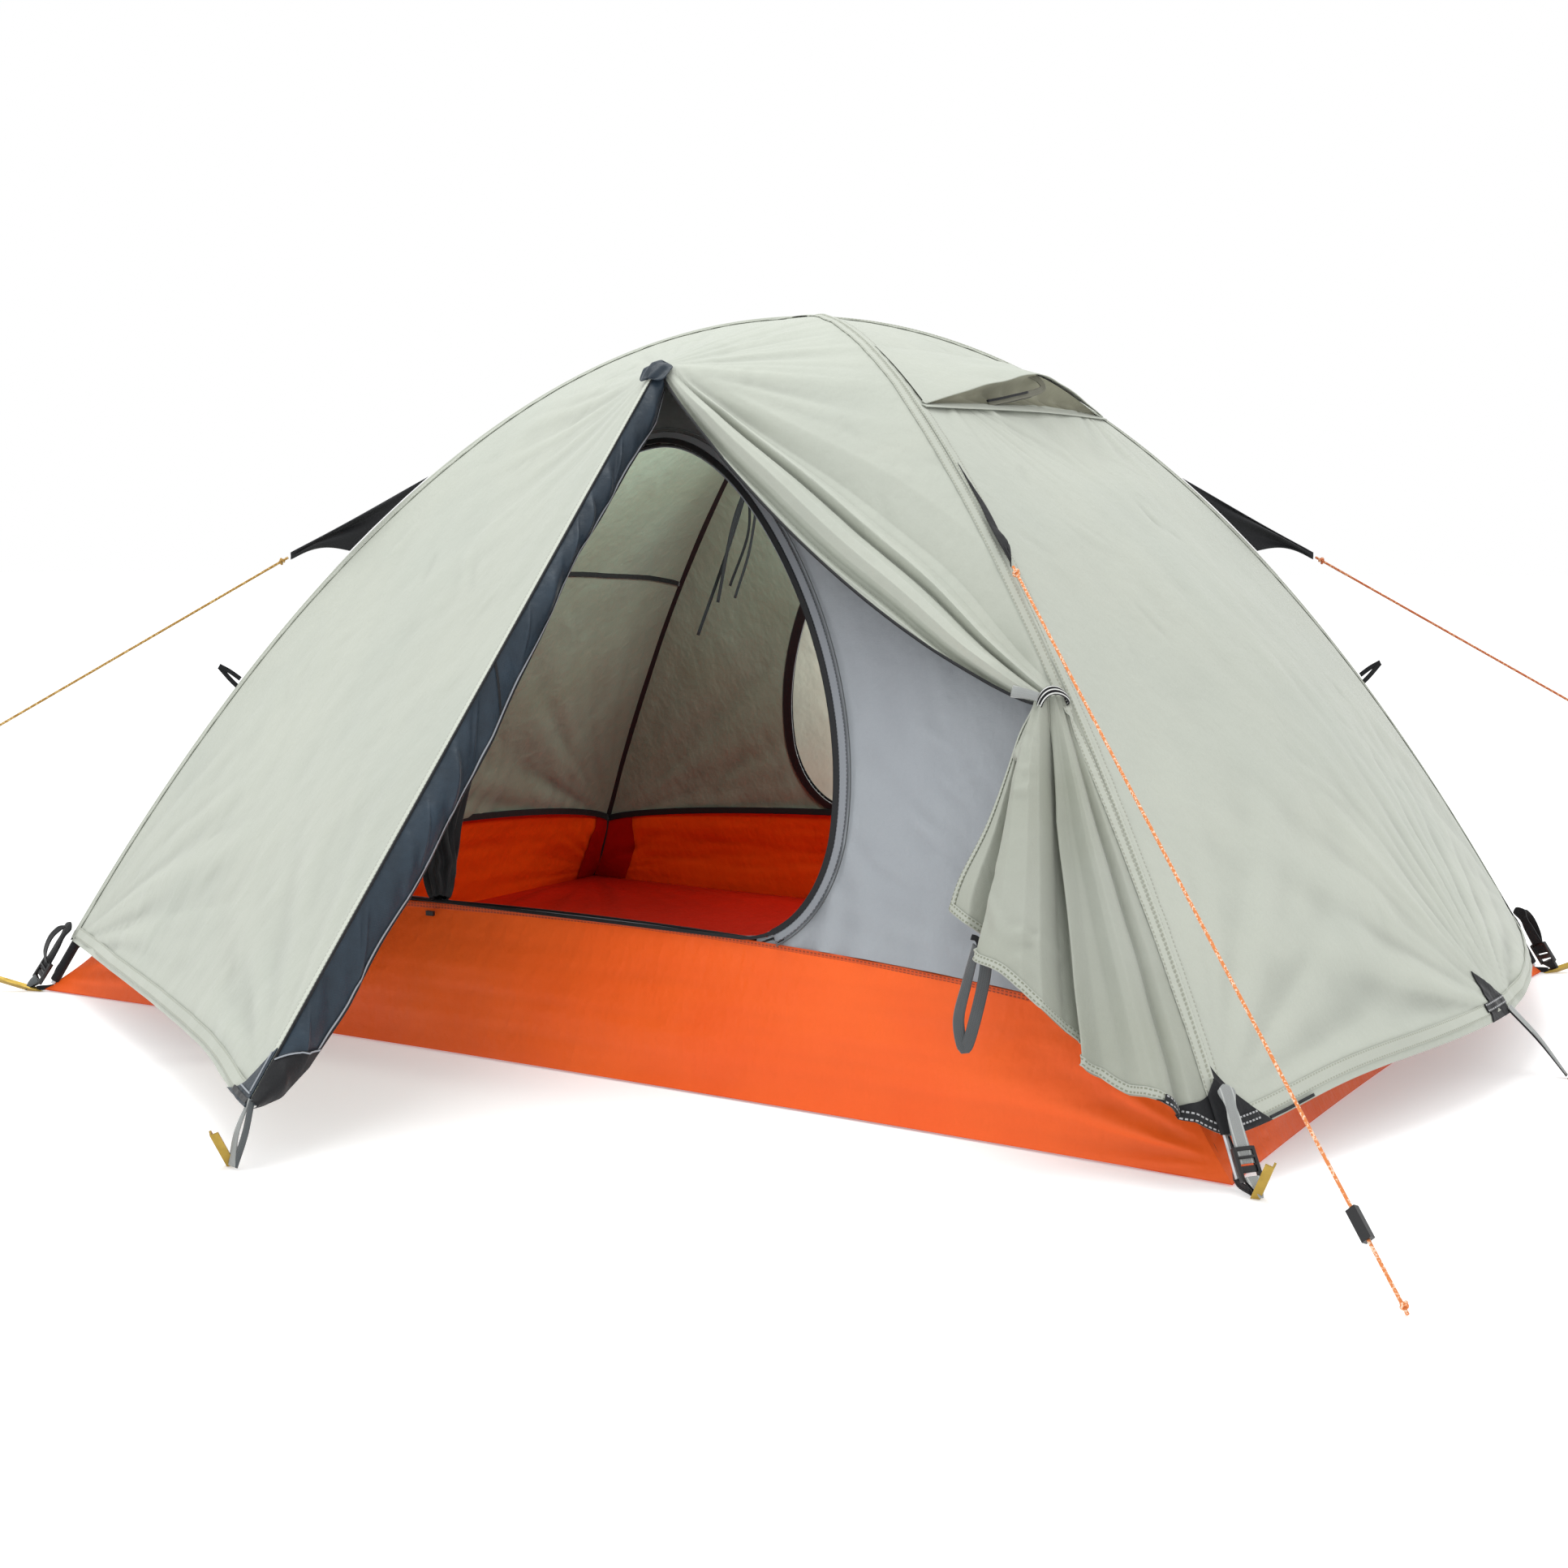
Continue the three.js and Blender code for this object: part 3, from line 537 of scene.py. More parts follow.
class Surface:
    """One material and the nodes that give it its detail."""

    def __init__(self, name):
        self.material = bpy.data.materials.new(name)
        self.material.use_nodes = True
        self.tree = self.material.node_tree
        self.shader = self.tree.nodes["Principled BSDF"]
        self.uv = self.add("ShaderNodeTexCoord").outputs["UV"]
        self.place = self.tree.nodes["Texture Coordinate"].outputs["Object"]
        self.height = None

    def add(self, kind, **settings):
        node = self.tree.nodes.new(kind)
        for key, value in settings.items():
            setattr(node, key, value)
        return node

    def put(self, socket, value):
        if isinstance(value, bpy.types.NodeSocket):
            self.tree.links.new(value, socket)
        else:
            socket.default_value = value

    def math(self, operation, a, b=0.0, clamp=False):
        node = self.add("ShaderNodeMath", operation=operation, use_clamp=clamp)
        self.put(node.inputs[0], a)
        self.put(node.inputs[1], b)
        return node.outputs[0]

    def times(self, a, b):
        return self.math("MULTIPLY", a, b)

    def plus(self, a, b):
        return self.math("ADD", a, b)

    def wave(self, value, pitch):
        return self.math("SINE", self.times(value, 2 * math.pi / pitch))

    def band(self, value, middle, half):
        """1 within half of the middle, 0 elsewhere."""
        return self.math("LESS_THAN", self.math("ABSOLUTE", self.math("SUBTRACT", value, middle)), half)

    def stretched(self, coordinates, scale):
        node = self.add("ShaderNodeMapping")
        self.put(node.inputs["Vector"], coordinates)
        node.inputs["Scale"].default_value = scale
        return node.outputs[0]

    def noise(self, coordinates, scale, detail=3.0, roughness=0.55):
        node = self.add("ShaderNodeTexNoise")
        self.put(node.inputs["Vector"], coordinates)
        node.inputs["Scale"].default_value = scale
        node.inputs["Detail"].default_value = detail
        node.inputs["Roughness"].default_value = roughness
        return node.outputs["Fac"]

    def ramp(self, value, low, high):
        node = self.add("ShaderNodeMapRange")
        self.put(node.inputs["Value"], value)
        node.inputs["From Min"].default_value = low
        node.inputs["From Max"].default_value = high
        return node.outputs[0]

    def mix(self, share, a, b):
        node = self.add("ShaderNodeMix", data_type="RGBA")
        self.put(node.inputs[0], share)
        self.put(node.inputs[6], a)
        self.put(node.inputs[7], b)
        return node.outputs[2]

    def tinted(self, base, where, strength, colour):
        return self.mix(self.times(where, strength), base, colour)

    def axes(self, coordinates):
        node = self.add("ShaderNodeSeparateXYZ")
        self.put(node.inputs[0], coordinates)
        return node.outputs

    def bump(self, height, strength, distance):
        node = self.add("ShaderNodeBump")
        node.inputs["Strength"].default_value = strength
        node.inputs["Distance"].default_value = distance
        self.put(node.inputs["Height"], height)
        if self.height is not None:
            self.put(node.inputs["Normal"], self.height)
        self.height = node.outputs[0]

    def threads(self, pitch):
        """Crossed threads from the cloth's own flat coordinates, 0 to 1."""
        x, y, _ = self.axes(self.uv)
        return self.math("MULTIPLY_ADD", self.times(self.wave(x, pitch), self.wave(y, pitch)), 0.5)

    def stitched(self, colour, thread, offsets, pitch=0.006):
        """Rows of stitches at these distances from the strip's middle; returns the colour."""
        x, y, _ = self.axes(self.uv)
        away = self.math("ABSOLUTE", x)
        dash = self.math("GREATER_THAN", self.wave(y, pitch), -0.35)
        rows = 0.0
        for offset in offsets:
            rows = self.plus(rows, self.band(away, offset, THREAD_HALF))
        mask = self.math("MULTIPLY", rows, dash, clamp=True)
        self.bump(rows, 0.5, -0.0012)
        self.bump(mask, 0.5, 0.0006)
        return self.tinted(colour, mask, 0.8, thread)

    def finish(self, colour, roughness, metallic=0.0, sheen=0.0, specular=0.4):
        self.put(self.shader.inputs["Base Color"], colour)
        self.put(self.shader.inputs["Roughness"], roughness)
        self.shader.inputs["Metallic"].default_value = metallic
        self.shader.inputs["Sheen Weight"].default_value = sheen
        self.shader.inputs["Sheen Roughness"].default_value = 0.4
        self.shader.inputs["Specular IOR Level"].default_value = specular
        if self.height is not None:
            self.put(self.shader.inputs["Normal"], self.height)
        return self.material


def shade(colour, factor):
    return tuple(min(c * factor, 1) for c in colour[:3]) + (1.0,)


def fabric(name, colour, pitch=0.0022, thread_bump=0.25, rumple=0.35, rough=0.72, sheen=0.15, tint=None,
           stitches=None, specular=0.35, variation=0.08, wash=1.6):
    """Woven cloth: crossed threads, slubs, soft creases, uneven dye and a speckled grain, with painted shade in the
    hollows of its folds and a painted highlight on their ridges.
    """
    s = Surface(name)
    weave = s.threads(pitch)
    slub = s.noise(s.stretched(s.uv, (30, 700, 1)), 1.0, 2.0)
    slub_across = s.noise(s.stretched(s.uv, (700, 30, 1)), 1.0, 2.0)
    cloud = s.noise(s.place, wash, 4.0)
    grain = s.noise(s.place, 420.0, 2.0)
    crease = s.noise(s.stretched(s.place, (1, 1, 0.45)), 9.0, 4.0, 0.6)
    fine_crease = s.noise(s.place, 45.0, 3.0, 0.6)
    s.bump(crease, rumple, 0.010)
    s.bump(fine_crease, rumple * 0.6, 0.0022)
    s.bump(s.plus(weave, s.plus(slub, slub_across)), thread_bump, 0.0005)
    light, dark = shade(colour, 1 + variation), shade(colour, 1 - variation)
    base = s.mix(s.ramp(cloud, 0.3, 0.7), dark, light)
    if tint is not None:
        base = s.tinted(base, s.ramp(s.noise(s.place, wash * 2.3, 3.0), 0.35, 0.75), 0.5, tint)
    base = s.tinted(base, s.ramp(s.plus(grain, s.times(weave, 0.4)), 0.35, 0.95), 0.16, shade(colour, 0.78))
    # Painted shade darkens the cloth in the hollows of its folds, and a painted highlight pales it on their ridges.
    hollow = s.add("ShaderNodeAttribute", attribute_name="hollow").outputs["Fac"]
    base = s.tinted(base, s.ramp(hollow, 0.0, 1.0), 0.45, shade(colour, 0.55))
    base = s.tinted(base, s.ramp(hollow, 0.0, -1.0), 0.30, shade(colour, 1.18))
    if stitches is not None:
        base = s.stitched(base, *stitches)
    roughness = s.plus(s.times(s.ramp(grain, 0.3, 0.7), 0.10), rough - 0.05)
    return s.finish(base, roughness, sheen=sheen, specular=specular)


STRIPE_HALF = 0.0009


def webbing(name, colour, rib=0.0022, stripe=None):
    """Narrow woven tape: chevron ribs along it, paler in scattered rubbed patches."""
    s = Surface(name)
    x, y, _ = s.axes(s.uv)
    chevron = s.plus(y, s.times(s.math("ABSOLUTE", x), 0.8))
    ribs = s.math("MULTIPLY_ADD", s.wave(chevron, rib), 0.5)
    cords = s.math("MULTIPLY_ADD", s.wave(x, 0.0028), 0.5)
    s.bump(s.plus(ribs, s.plus(cords, s.noise(s.place, 600.0, 2.0))), 0.45, 0.0007)
    s.bump(s.noise(s.place, 60.0, 3.0), 0.3, 0.002)
    base = s.tinted(shade(colour, 1.08), ribs, 0.35, shade(colour, 0.62))
    base = s.tinted(base, s.ramp(s.noise(s.place, 25.0, 3.0), 0.45, 0.8), 0.35, shade(colour, 1.45))
    if stripe is not None:
        pale, offsets = stripe
        for offset in offsets:
            base = s.mix(s.band(s.math("ABSOLUTE", x), offset, STRIPE_HALF), base, pale)
    return s.finish(base, 0.82, sheen=0.25, specular=0.25)


def moulded(name, colour):
    """Injection-moulded plastic with a fine grain and rubbed spots."""
    s = Surface(name)
    grain = s.noise(s.place, 900.0, 3.0)
    wear = s.ramp(s.noise(s.place, 40.0, 4.0), 0.55, 0.75)
    s.bump(grain, 0.25, 0.0003)
    base = s.tinted(colour, wear, 0.4, shade(colour, 2.2))
    return s.finish(base, s.plus(s.times(wear, 0.2), 0.32), specular=0.5)


def brushed(name, colour, along, rough=0.3):
    """Drawn metal with fine scratches along it and duller, darker handling marks."""
    s = Surface(name)
    scratches = s.noise(s.stretched(s.place, along), 1.0, 4.0)
    dull = s.ramp(s.noise(s.place, 55.0, 4.0), 0.4, 0.75)
    s.bump(scratches, 0.2, 0.0003)
    base = s.tinted(colour, dull, 0.45, shade(colour, 0.55))
    roughness = s.plus(s.times(s.plus(scratches, dull), 0.16), rough - 0.06)
    return s.finish(base, roughness, metallic=1.0)


def braided(name, colour, fleck):
    """Braided cord with a pale fleck yarn winding round it."""
    s = Surface(name)
    strands = s.noise(s.stretched(s.place, (260, 260, 260)), 1.0, 1.0)
    flecks = s.ramp(s.noise(s.place, 340.0, 1.0), 0.54, 0.6)
    s.bump(strands, 0.6, 0.0008)
    base = s.tinted(s.tinted(colour, strands, 0.5, shade(colour, 0.7)), flecks, 0.75, fleck)
    return s.finish(base, 0.75, sheen=0.2, specular=0.25)


SAGE = srgb(182, 186, 175)
FLY_CLOTH = fabric("fly cloth", SAGE, tint=srgb(173, 179, 170), rumple=0.75, variation=0.05)
# The hanging half and its hems are the fly cloth painted darker and warmer: painted shade.
SHADED_DRAPE_HEM = fabric("hanging hem", shade(SAGE, 0.86), stitches=(srgb(120, 124, 106), (0.0030,)), rumple=0.5)
SHADED_DRAPE_CLOTH = fabric("hanging fly cloth", shade(SAGE, 0.80), tint=srgb(146, 150, 132), rumple=0.75, variation=0.06)
FLY_SEAM = fabric("fly seam", shade(SAGE, 0.97), stitches=(srgb(150, 152, 138), (0.0045,)), rumple=0.5)
FLY_HEM = fabric("fly hem", shade(SAGE, 0.99), stitches=(srgb(150, 153, 138), (0.0070,)), rumple=0.5)
# The door's zip edge is the fly cloth painted lighter: a painted highlight along the edge.
FLY_EDGE_HIGHLIGHT = fabric("fly zip edge", shade(SAGE, 1.16), stitches=(srgb(150, 153, 142), (0.0055,)), rumple=0.4)
# The cloth in the vents' mouths is the fly cloth painted darker and warmer: painted shade.
SHADED_FLY_INSIDE = fabric("vent lining", srgb(158, 157, 138), rumple=0.6)
LINING = fabric("lining outside", srgb(156, 161, 166), pitch=0.0018, rough=0.62, rumple=0.8, tint=srgb(146, 150, 158))
# The lining's inside face is the same cloth painted dimmer and greener: painted shade, with a painted green cast of the
# light through the flysheet.
LINING_DIM = fabric("lining inside", srgb(140, 153, 139), pitch=0.0018, rough=0.62, rumple=1.0,
                    tint=srgb(128, 132, 112), wash=2.4)
TUB_CLOTH = fabric("tub cloth", srgb(244, 100, 28), rough=0.46, rumple=0.8, tint=srgb(228, 74, 8), sheen=0.0,
                   specular=0.35)
# The tub's inside face is its cloth painted a deeper orange: painted light passing through the orange cloth. Its floor
# is painted darker red: painted shade.
TUB_INSIDE = fabric("tub inside", srgb(252, 82, 8), rough=0.5, rumple=0.9, tint=srgb(226, 58, 4), sheen=0.0,
                    specular=0.3)
SHADED_TUB_FLOOR = fabric("tub floor", srgb(196, 28, 5), rough=0.5, rumple=0.9, tint=srgb(168, 14, 3), sheen=0.0, specular=0.3)
# Painted shade: a dark red laid over the tub's inside at its corners, where the walls meet.
TUB_CORNER_SHADE = fabric("tub corner", srgb(168, 12, 4), rough=0.5, rumple=0.6, sheen=0.0, specular=0.25)
TUB_SEAM = fabric("tub seam", srgb(206, 78, 20), rough=0.5, rumple=0.5, stitches=(srgb(120, 50, 24), (0.002,)))
NAVY = fabric("navy cloth", srgb(38, 52, 64), rough=0.5, rumple=1.0, sheen=0.1, variation=0.25, wash=12.0,
              tint=srgb(24, 30, 38))
PALE_EDGE = fabric("pale edging", srgb(150, 155, 162), rough=0.6, rumple=0.4)
BLACK_CLOTH = fabric("black cloth", srgb(22, 23, 26), rough=0.7, rumple=0.8, sheen=0.1)
BLACK_PATCH = fabric("black patch", srgb(20, 21, 24), rough=0.7, rumple=0.6, stitches=(srgb(185, 186, 188), (0.0042,)))
PIPING = fabric("black piping", srgb(18, 20, 24), rough=0.55, rumple=0.4, pitch=0.0015)
BLACK_TAPE = webbing("black tape", srgb(24, 25, 28))
GREY_TAPE = webbing("grey tape", srgb(150, 153, 152), stripe=(srgb(185, 188, 186), (0.0075,)))
DARK_TAPE = webbing("dark grey tape", srgb(82, 86, 88))
ELASTIC = webbing("elastic", srgb(14, 15, 18), stripe=(srgb(222, 224, 222), (0.0, 0.0052)))
STRUT_TAPE = webbing("strut tape", srgb(112, 111, 98))
ZIP_TAPE = fabric("zip tape", srgb(132, 136, 142), rough=0.6, stitches=(srgb(80, 84, 90), (0.006,)))
PLASTIC = moulded("black plastic", srgb(20, 20, 22))
SILVER = brushed("pole metal", srgb(200, 203, 206), (60, 60, 900))
GOLD = brushed("peg metal", srgb(176, 148, 74), (90, 90, 700), rough=0.34)
ORANGE_LINE = braided("orange guyline", srgb(228, 138, 78), srgb(245, 225, 200))
RUSSET_LINE = braided("russet guyline", srgb(186, 96, 56), srgb(226, 176, 130))
OCHRE_LINE = braided("ochre guyline", srgb(170, 128, 60), srgb(220, 190, 130))

# ---- helpers that put pieces on the tent ----

def place(piece, body="tent", nodes=()):
    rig.ride(piece, body)
    if nodes:
        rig.replaces(piece, *nodes)
    return piece


def strip(name, path, facing, width, material, thick=0.0012, crown=0.0, body="tent", nodes=()):
    piece = sheet_object(name, strip_cloth(path, facing, width, crown), material, thick)
    return place(piece, body, nodes)


def strip_on(name, cloth, u, v, width, material, lift, body="tent"):
    """A strip sewn onto a sheet along a line in the sheet's own u and v."""
    return strip(name, *cloth.at(u, v, lift), width, material, body=body)


def tube(name, path, radius, material, sides, body="tent"):
    return place(sheet_object(name, tube_cloth(path, radius, sides), material), body)


def declare(name, held, *rests_on):
    """Tells the frame what the sheet was cut to: its own width, length and area."""
    cloth, keep = CUTS[name]
    points = cloth.points
    width = float(arc_lengths(points, 1)[:, -1].max())
    length = float(arc_lengths(points, 0)[-1].max())
    cells = np.linalg.norm(np.cross(points[1:, 1:] - points[:-1, :-1], points[1:, :-1] - points[:-1, 1:]), axis=-1) / 2
    area = float((cells if keep is None else cells[keep]).sum())
    width = min(width, 2 * area / length)
    area = min(area, width * length)
    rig.sheet(bpy.data.objects[name], flat=(width, length), held=held, rests_on=rests_on, area=area)


# ---- guylines ----

TAB_TIPS = {
    "front_left": point(-0.700, -0.500, 0.726),
    "front_right": point(0.610, -0.483, 0.719),
    "rear_left": point(-0.610, 0.483, 0.719),
    "rear_right": point(0.700, 0.500, 0.726),
}
LINES = {
    "front_left": (point(-1.130, -0.806, 0.422), OCHRE_LINE),
    "front_right": (point(1.316, -1.043, 0.002), ORANGE_LINE),
    "rear_right": (point(1.105, 0.789, 0.455), RUSSET_LINE),
}
LINE_RADIUS, LINE_STEPS = 0.002, 23


def knot(name, centre, axis, size, material):
    """Two crossed turns of cord pulled tight round the line."""
    angle = np.linspace(0, 4 * np.pi, 90)
    first = unit(np.cross(axis, UP))
    second = np.cross(unit(axis), first)
    wide = size * (0.62 + 0.2 * np.cos(angle / 2))[:, None]
    path = centre + first * np.cos(angle)[:, None] * wide + second * np.sin(angle)[:, None] * wide
    path = path + unit(axis) * (size * 0.55 * np.sin(angle / 2 + 0.6))[:, None]
    return tube(name, path, LINE_RADIUS * 0.95, material, 10)


for name, (end, material) in LINES.items():
    tip = TAB_TIPS[name]
    start = lerp(tip, end, 0.008)
    curve = bpy.data.curves.new(f"{name}_line", "CURVE")
    curve.dimensions = "3D"
    curve.bevel_depth = LINE_RADIUS
    curve.bevel_resolution = 4
    curve.use_fill_caps = True
    spline = curve.splines.new("POLY")
    spline.points.add(LINE_STEPS)
    for k, p in enumerate(spline.points):
        p.co = (*lerp(start, end, k / LINE_STEPS), 1)
    curve.materials.append(material)
    line = new_object(f"{name}_line", curve)
    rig.ride(line, "tent")
    direction = unit(end - tip)
    foot_knot = knot(f"{name}_end_knot", end - direction * 0.008 + UP * 0.0025, direction, 0.0042, material)
    top_knot = knot(f"{name}_tip_knot", start + direction * 0.012, direction, 0.0050, material)
    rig.replaces(line, f"{name}_guyline")
    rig.cord(line, exit=start, length=float(np.linalg.norm(end - start)), diameter=2 * LINE_RADIUS, far_end="knot",
            stiffness="limp", lay="taut", with_pieces=(foot_knot.name, top_knot.name))

# ---- flysheet ----

ROWS, COLUMNS = 250, 180


def closed_half(corner, seed):
    """Between the ridge and zip and the pole seam of one corner, with the creases of stretched cloth."""
    u, v = lattice(ROWS, COLUMNS)
    t = lerp(CROWN_T, HEM_T, v)
    upper = ridge(np.minimum(t, ZIP_T))
    lower = zip_point(np.clip(door_share(t), 0, 1))
    edge = np.where((t < ZIP_T)[..., None], upper, lower)
    points = drawn_out(between(edge, arch(corner, t), u))
    cloth = Cloth(points)
    inner = np.sin(np.pi * u) ** 0.7 * np.clip(v * 6, 0, 1)
    depth = (0.0060 * murmur(points, 0.55, seed) + 0.0014 * murmur(points * point(1, 1, 0.4), 0.09, seed + 5)) * inner
    across, down = point(-1, 0, 0), point(0, -0.6, -0.8)
    hem_corner = arch(corner, HEM_T)
    depth = depth + rays(points, ZIP_TOP, across, down, 0.16, 18, 0.0045, seed + 1) * inner
    for k, focus in enumerate((hem_corner, ZIP_FOOT)):
        depth = depth + rays(points, focus, across, down, 0.24, 16, 0.0095, seed + 2 + k) * inner
    depth = depth - 0.012 * np.sin(np.pi * u) * np.clip(v * 3 - 0.4, 0, 1)
    gathers = 0.0016 * np.sin(u * 46 + 3 * np.sin(v * 5)) * hump(u, 0.05, 0.10)
    depth = depth + (scattered(points, 26, seed + 6) + gathers) * inner
    return cloth.pushed(depth * facing_out(cloth))


FRONT = point(0, -1, 0.4)
FOLD_LEAD, FOLD_WIDTH = 0.010, 0.070
left_half = closed_half(FL, 11)
rear_left_half = Cloth(turned(closed_half(FR, 23).points))

# The hinged halves fold along the line from the zip's top to the hem's corner.
crease = unit(arch(FL, HEM_T) - ZIP_TOP)
zip_way = unit(ZIP_FOOT - ZIP_TOP)
fold_way = unit(zip_way - crease * (zip_way @ crease))
fold_start, fold_end = ZIP_TOP - fold_way * FOLD_LEAD, ZIP_TOP + fold_way * FOLD_WIDTH
for end, corner, flip in (("front", "front_left", same), ("rear", "rear_right", turned)):
    piece = sheet_object(f"fly_{corner}_cloth", Cloth(flip(left_half.points)), FLY_CLOTH)
    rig.replaces(piece, f"fly_{corner}_panel", f"{end}_door")
    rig.blend(piece, "tent", f"{end}_door", flip(fold_start), flip(fold_end))
place(sheet_object("fly_rear_left_cloth", rear_left_half, FLY_CLOTH), nodes=("fly_rear_left_panel",))


# Distance from the free edge and height of the pleats across it.
TIED_PLEATS = (
    (0, 0.010), (0.004, 0.012), (0.008, 0.006), (0.014, -0.006), (0.020, -0.002), (0.027, 0.014), (0.040, 0.026),
    (0.056, 0.024), (0.068, 0.010), (0.073, -0.004), (0.078, 0.006), (0.085, 0.016), (0.093, 0.012), (0.104, -0.002),
    (0.122, -0.008), (0.150, -0.002), (0.185, 0.004), (0.25, 0),
)


def tied_back():
    """The opened half: its free edge is drawn up in pleats from the zip's top to the tie."""
    u, v = lattice(220, 260)
    u = u ** 1.7
    t = lerp(CROWN_T, TIE_T, v)
    share = np.clip((t - ZIP_T) / (TIE_T - ZIP_T), 0, 1)
    sag = np.sin(np.pi * share) ** 0.6
    free = ZIP_TOP + (TIE - ZIP_TOP) * share[..., None] + point(0, -0.022, -0.070) * sag[..., None]
    edge = np.where((t < ZIP_T)[..., None], ridge(np.minimum(t, ZIP_T)), free)
    seam = arch(FR, t)
    points = between(edge, seam, u)
    cloth = outward_cloth(points)
    away = u * np.linalg.norm(seam - edge, axis=-1)
    spread = 0.22 + 0.78 * np.sin(np.pi * np.clip(share, 0, 1) ** 0.8) ** 0.8
    grown = np.clip(share * 9, 0, 1) * np.clip((1.0 - share) * 7, 0.22, 1)
    wander = 0.004 * np.sin(7 * share + 1) + 0.002 * np.sin(17 * share)
    depth = np.interp(away / spread + wander, *zip(*TIED_PLEATS)) * grown
    inner = np.sin(np.pi * np.clip(u, 0, 1)) ** 0.5 * np.clip(v * 6, 0, 1)
    depth = depth + rays(points, TIE, point(-1, 0, 0.6), point(-0.3, 0, 1), 0.30, 22, 0.0060, 31) * inner
    depth = depth + rays(points, ZIP_TOP, point(1, 0, 0), point(0, -0.6, -0.8), 0.18, 20, 0.0045, 32) * inner
    depth = depth + (0.004 * murmur(points, 0.5, 33) + scattered(points, 24, 34)) * inner
    return cloth.pushed(depth)


tied_half = tied_back()
place(sheet_object("fly_front_right_cloth", tied_half, FLY_CLOTH), nodes=("fly_front_right_panel",))


DRAPE_ROWS, DRAPE_COLUMNS = 170, 260
DRAPE_HEM_LINE = (
    (0.651, -0.722, 0.288), (0.682, -0.738, 0.276), (0.711, -0.748, 0.262), (0.716, -0.762, 0.233),
    (0.757, -0.774, 0.220), (0.812, -0.788, 0.187), (0.876, -0.792, 0.160), (0.896, -0.794, 0.130),
    (0.922, -0.792, 0.108), (0.966, -0.780, 0.094), (1.009, -0.740, 0.083),
)
DRAPE_SIDE_LINE = (
    (0.690, -0.575, 0.528), (0.683, -0.595, 0.500), (0.680, -0.626, 0.452), (0.672, -0.664, 0.390),
    (0.657, -0.702, 0.330),
)
GATHER_STEPS = ((-0.010, 0.004, 0.006), (0.004, -0.014, 0.010), (0.020, 0.000, 0.008))
# Share across the drape and depth of its folds.
DRAPE_FOLDS = (
    (0, 0.002), (0.07, 0.006), (0.105, -0.010), (0.128, -0.018), (0.150, 0.006), (0.20, 0.022), (0.30, 0.030),
    (0.40, 0.028), (0.47, 0.014), (0.515, -0.030), (0.56, -0.046), (0.66, -0.030), (0.755, -0.012), (0.79, 0.008),
    (0.82, 0.014), (0.85, 0.008), (0.885, -0.010), (0.915, 0.003), (0.945, 0.001), (1, 0),
)
# Creases: the row and column of each end on the drape's grid, and the height.
DRAPE_MARKS = (
    (26, 70, 30, 120, -0.005), (52, 78, 45, 110, 0.004), (66, 72, 60, 104, 0.004), (128, 30, 122, 60, -0.004),
    (138, 46, 150, 86, 0.004), (132, 112, 146, 104, -0.005), (146, 86, 132, 132, 0.004), (156, 92, 150, 122, 0.003),
)


def drape():
    """Below the tie the opened half hangs free in folds that fan out from the gather."""
    hem = smooth_path(DRAPE_HEM_LINE, DRAPE_COLUMNS)
    gather = smooth_path(TIE + np.array(GATHER_STEPS), DRAPE_COLUMNS)
    u, v = lattice(DRAPE_ROWS, DRAPE_COLUMNS)
    side = smooth_path([gather[0], *DRAPE_SIDE_LINE, hem[0]], DRAPE_ROWS)
    seam = arch(FR, lerp(0.715, HEM_T, np.linspace(0, 1, DRAPE_ROWS)))
    down = v[:, 0]
    left_shift = side - between(gather[0], hem[0], down)
    right_shift = seam - between(gather[-1], hem[-1], down)
    shift = left_shift[:, None] * ((1 - u) ** 3)[..., None]
    points = drawn_out(between(gather[None], hem[None], v) + shift + right_shift[:, None] * (u ** 4)[..., None])
    cloth = outward_cloth(points)
    bend = u + 0.010 * np.sin(4 * v + 9 * u) + 0.045 * (1 - v) * np.sin(np.pi * u)
    deep = np.interp(bend, *zip(*DRAPE_FOLDS))
    deep = (np.roll(deep, 1, 1) + 2 * deep + np.roll(deep, -1, 1)) / 4
    deep[:, (0, -1)] = 0
    pleats = 0.0035 * np.cos(2 * np.pi * 7 * u) * np.exp(-v * 7)
    grown = np.clip(0.16 + 2.4 * v, 0, 1)
    depth = (deep * grown + pleats) * np.clip((1 - u) * 9, 0, 1)
    depth = depth + 0.0026 * murmur(points, 0.10, 41) * v * np.clip((1 - u) * 6, 0, 1)
    marks = [(points[j, i], points[k, n], height) for j, i, k, n, height in DRAPE_MARKS]
    return cloth.pushed(depth + pinches(points, marks, 0.008) * np.clip(v * 3, 0, 1))


hanging = drape()
# The hanging half is dressed in the fly cloth with painted shade.
place(sheet_object("tied_back_cloth", hanging, SHADED_DRAPE_CLOTH), nodes=("tied_back_door",))

VENT_HALF, VENT_TOP_T, VENT_SIDE_U = 0.215, 0.285, 0.04


def end_base(u, t):
    u, t = np.broadcast_arrays(u, t)
    middling = 1 - np.abs(2 * u - 1) ** 1.6
    return between(arch(FR, t), arch(RR, t), u) + point(1, 0, 0) * (SIDE_PULL * (t / HEM_T) ** 2 * middling)[..., None]


def sill_t(u):
    """Where the vent's lower edge and the ends of its hood's lip meet the panel."""
    return lerp(0.398, 0.384, u) - 0.006 * np.sin(np.pi * u)


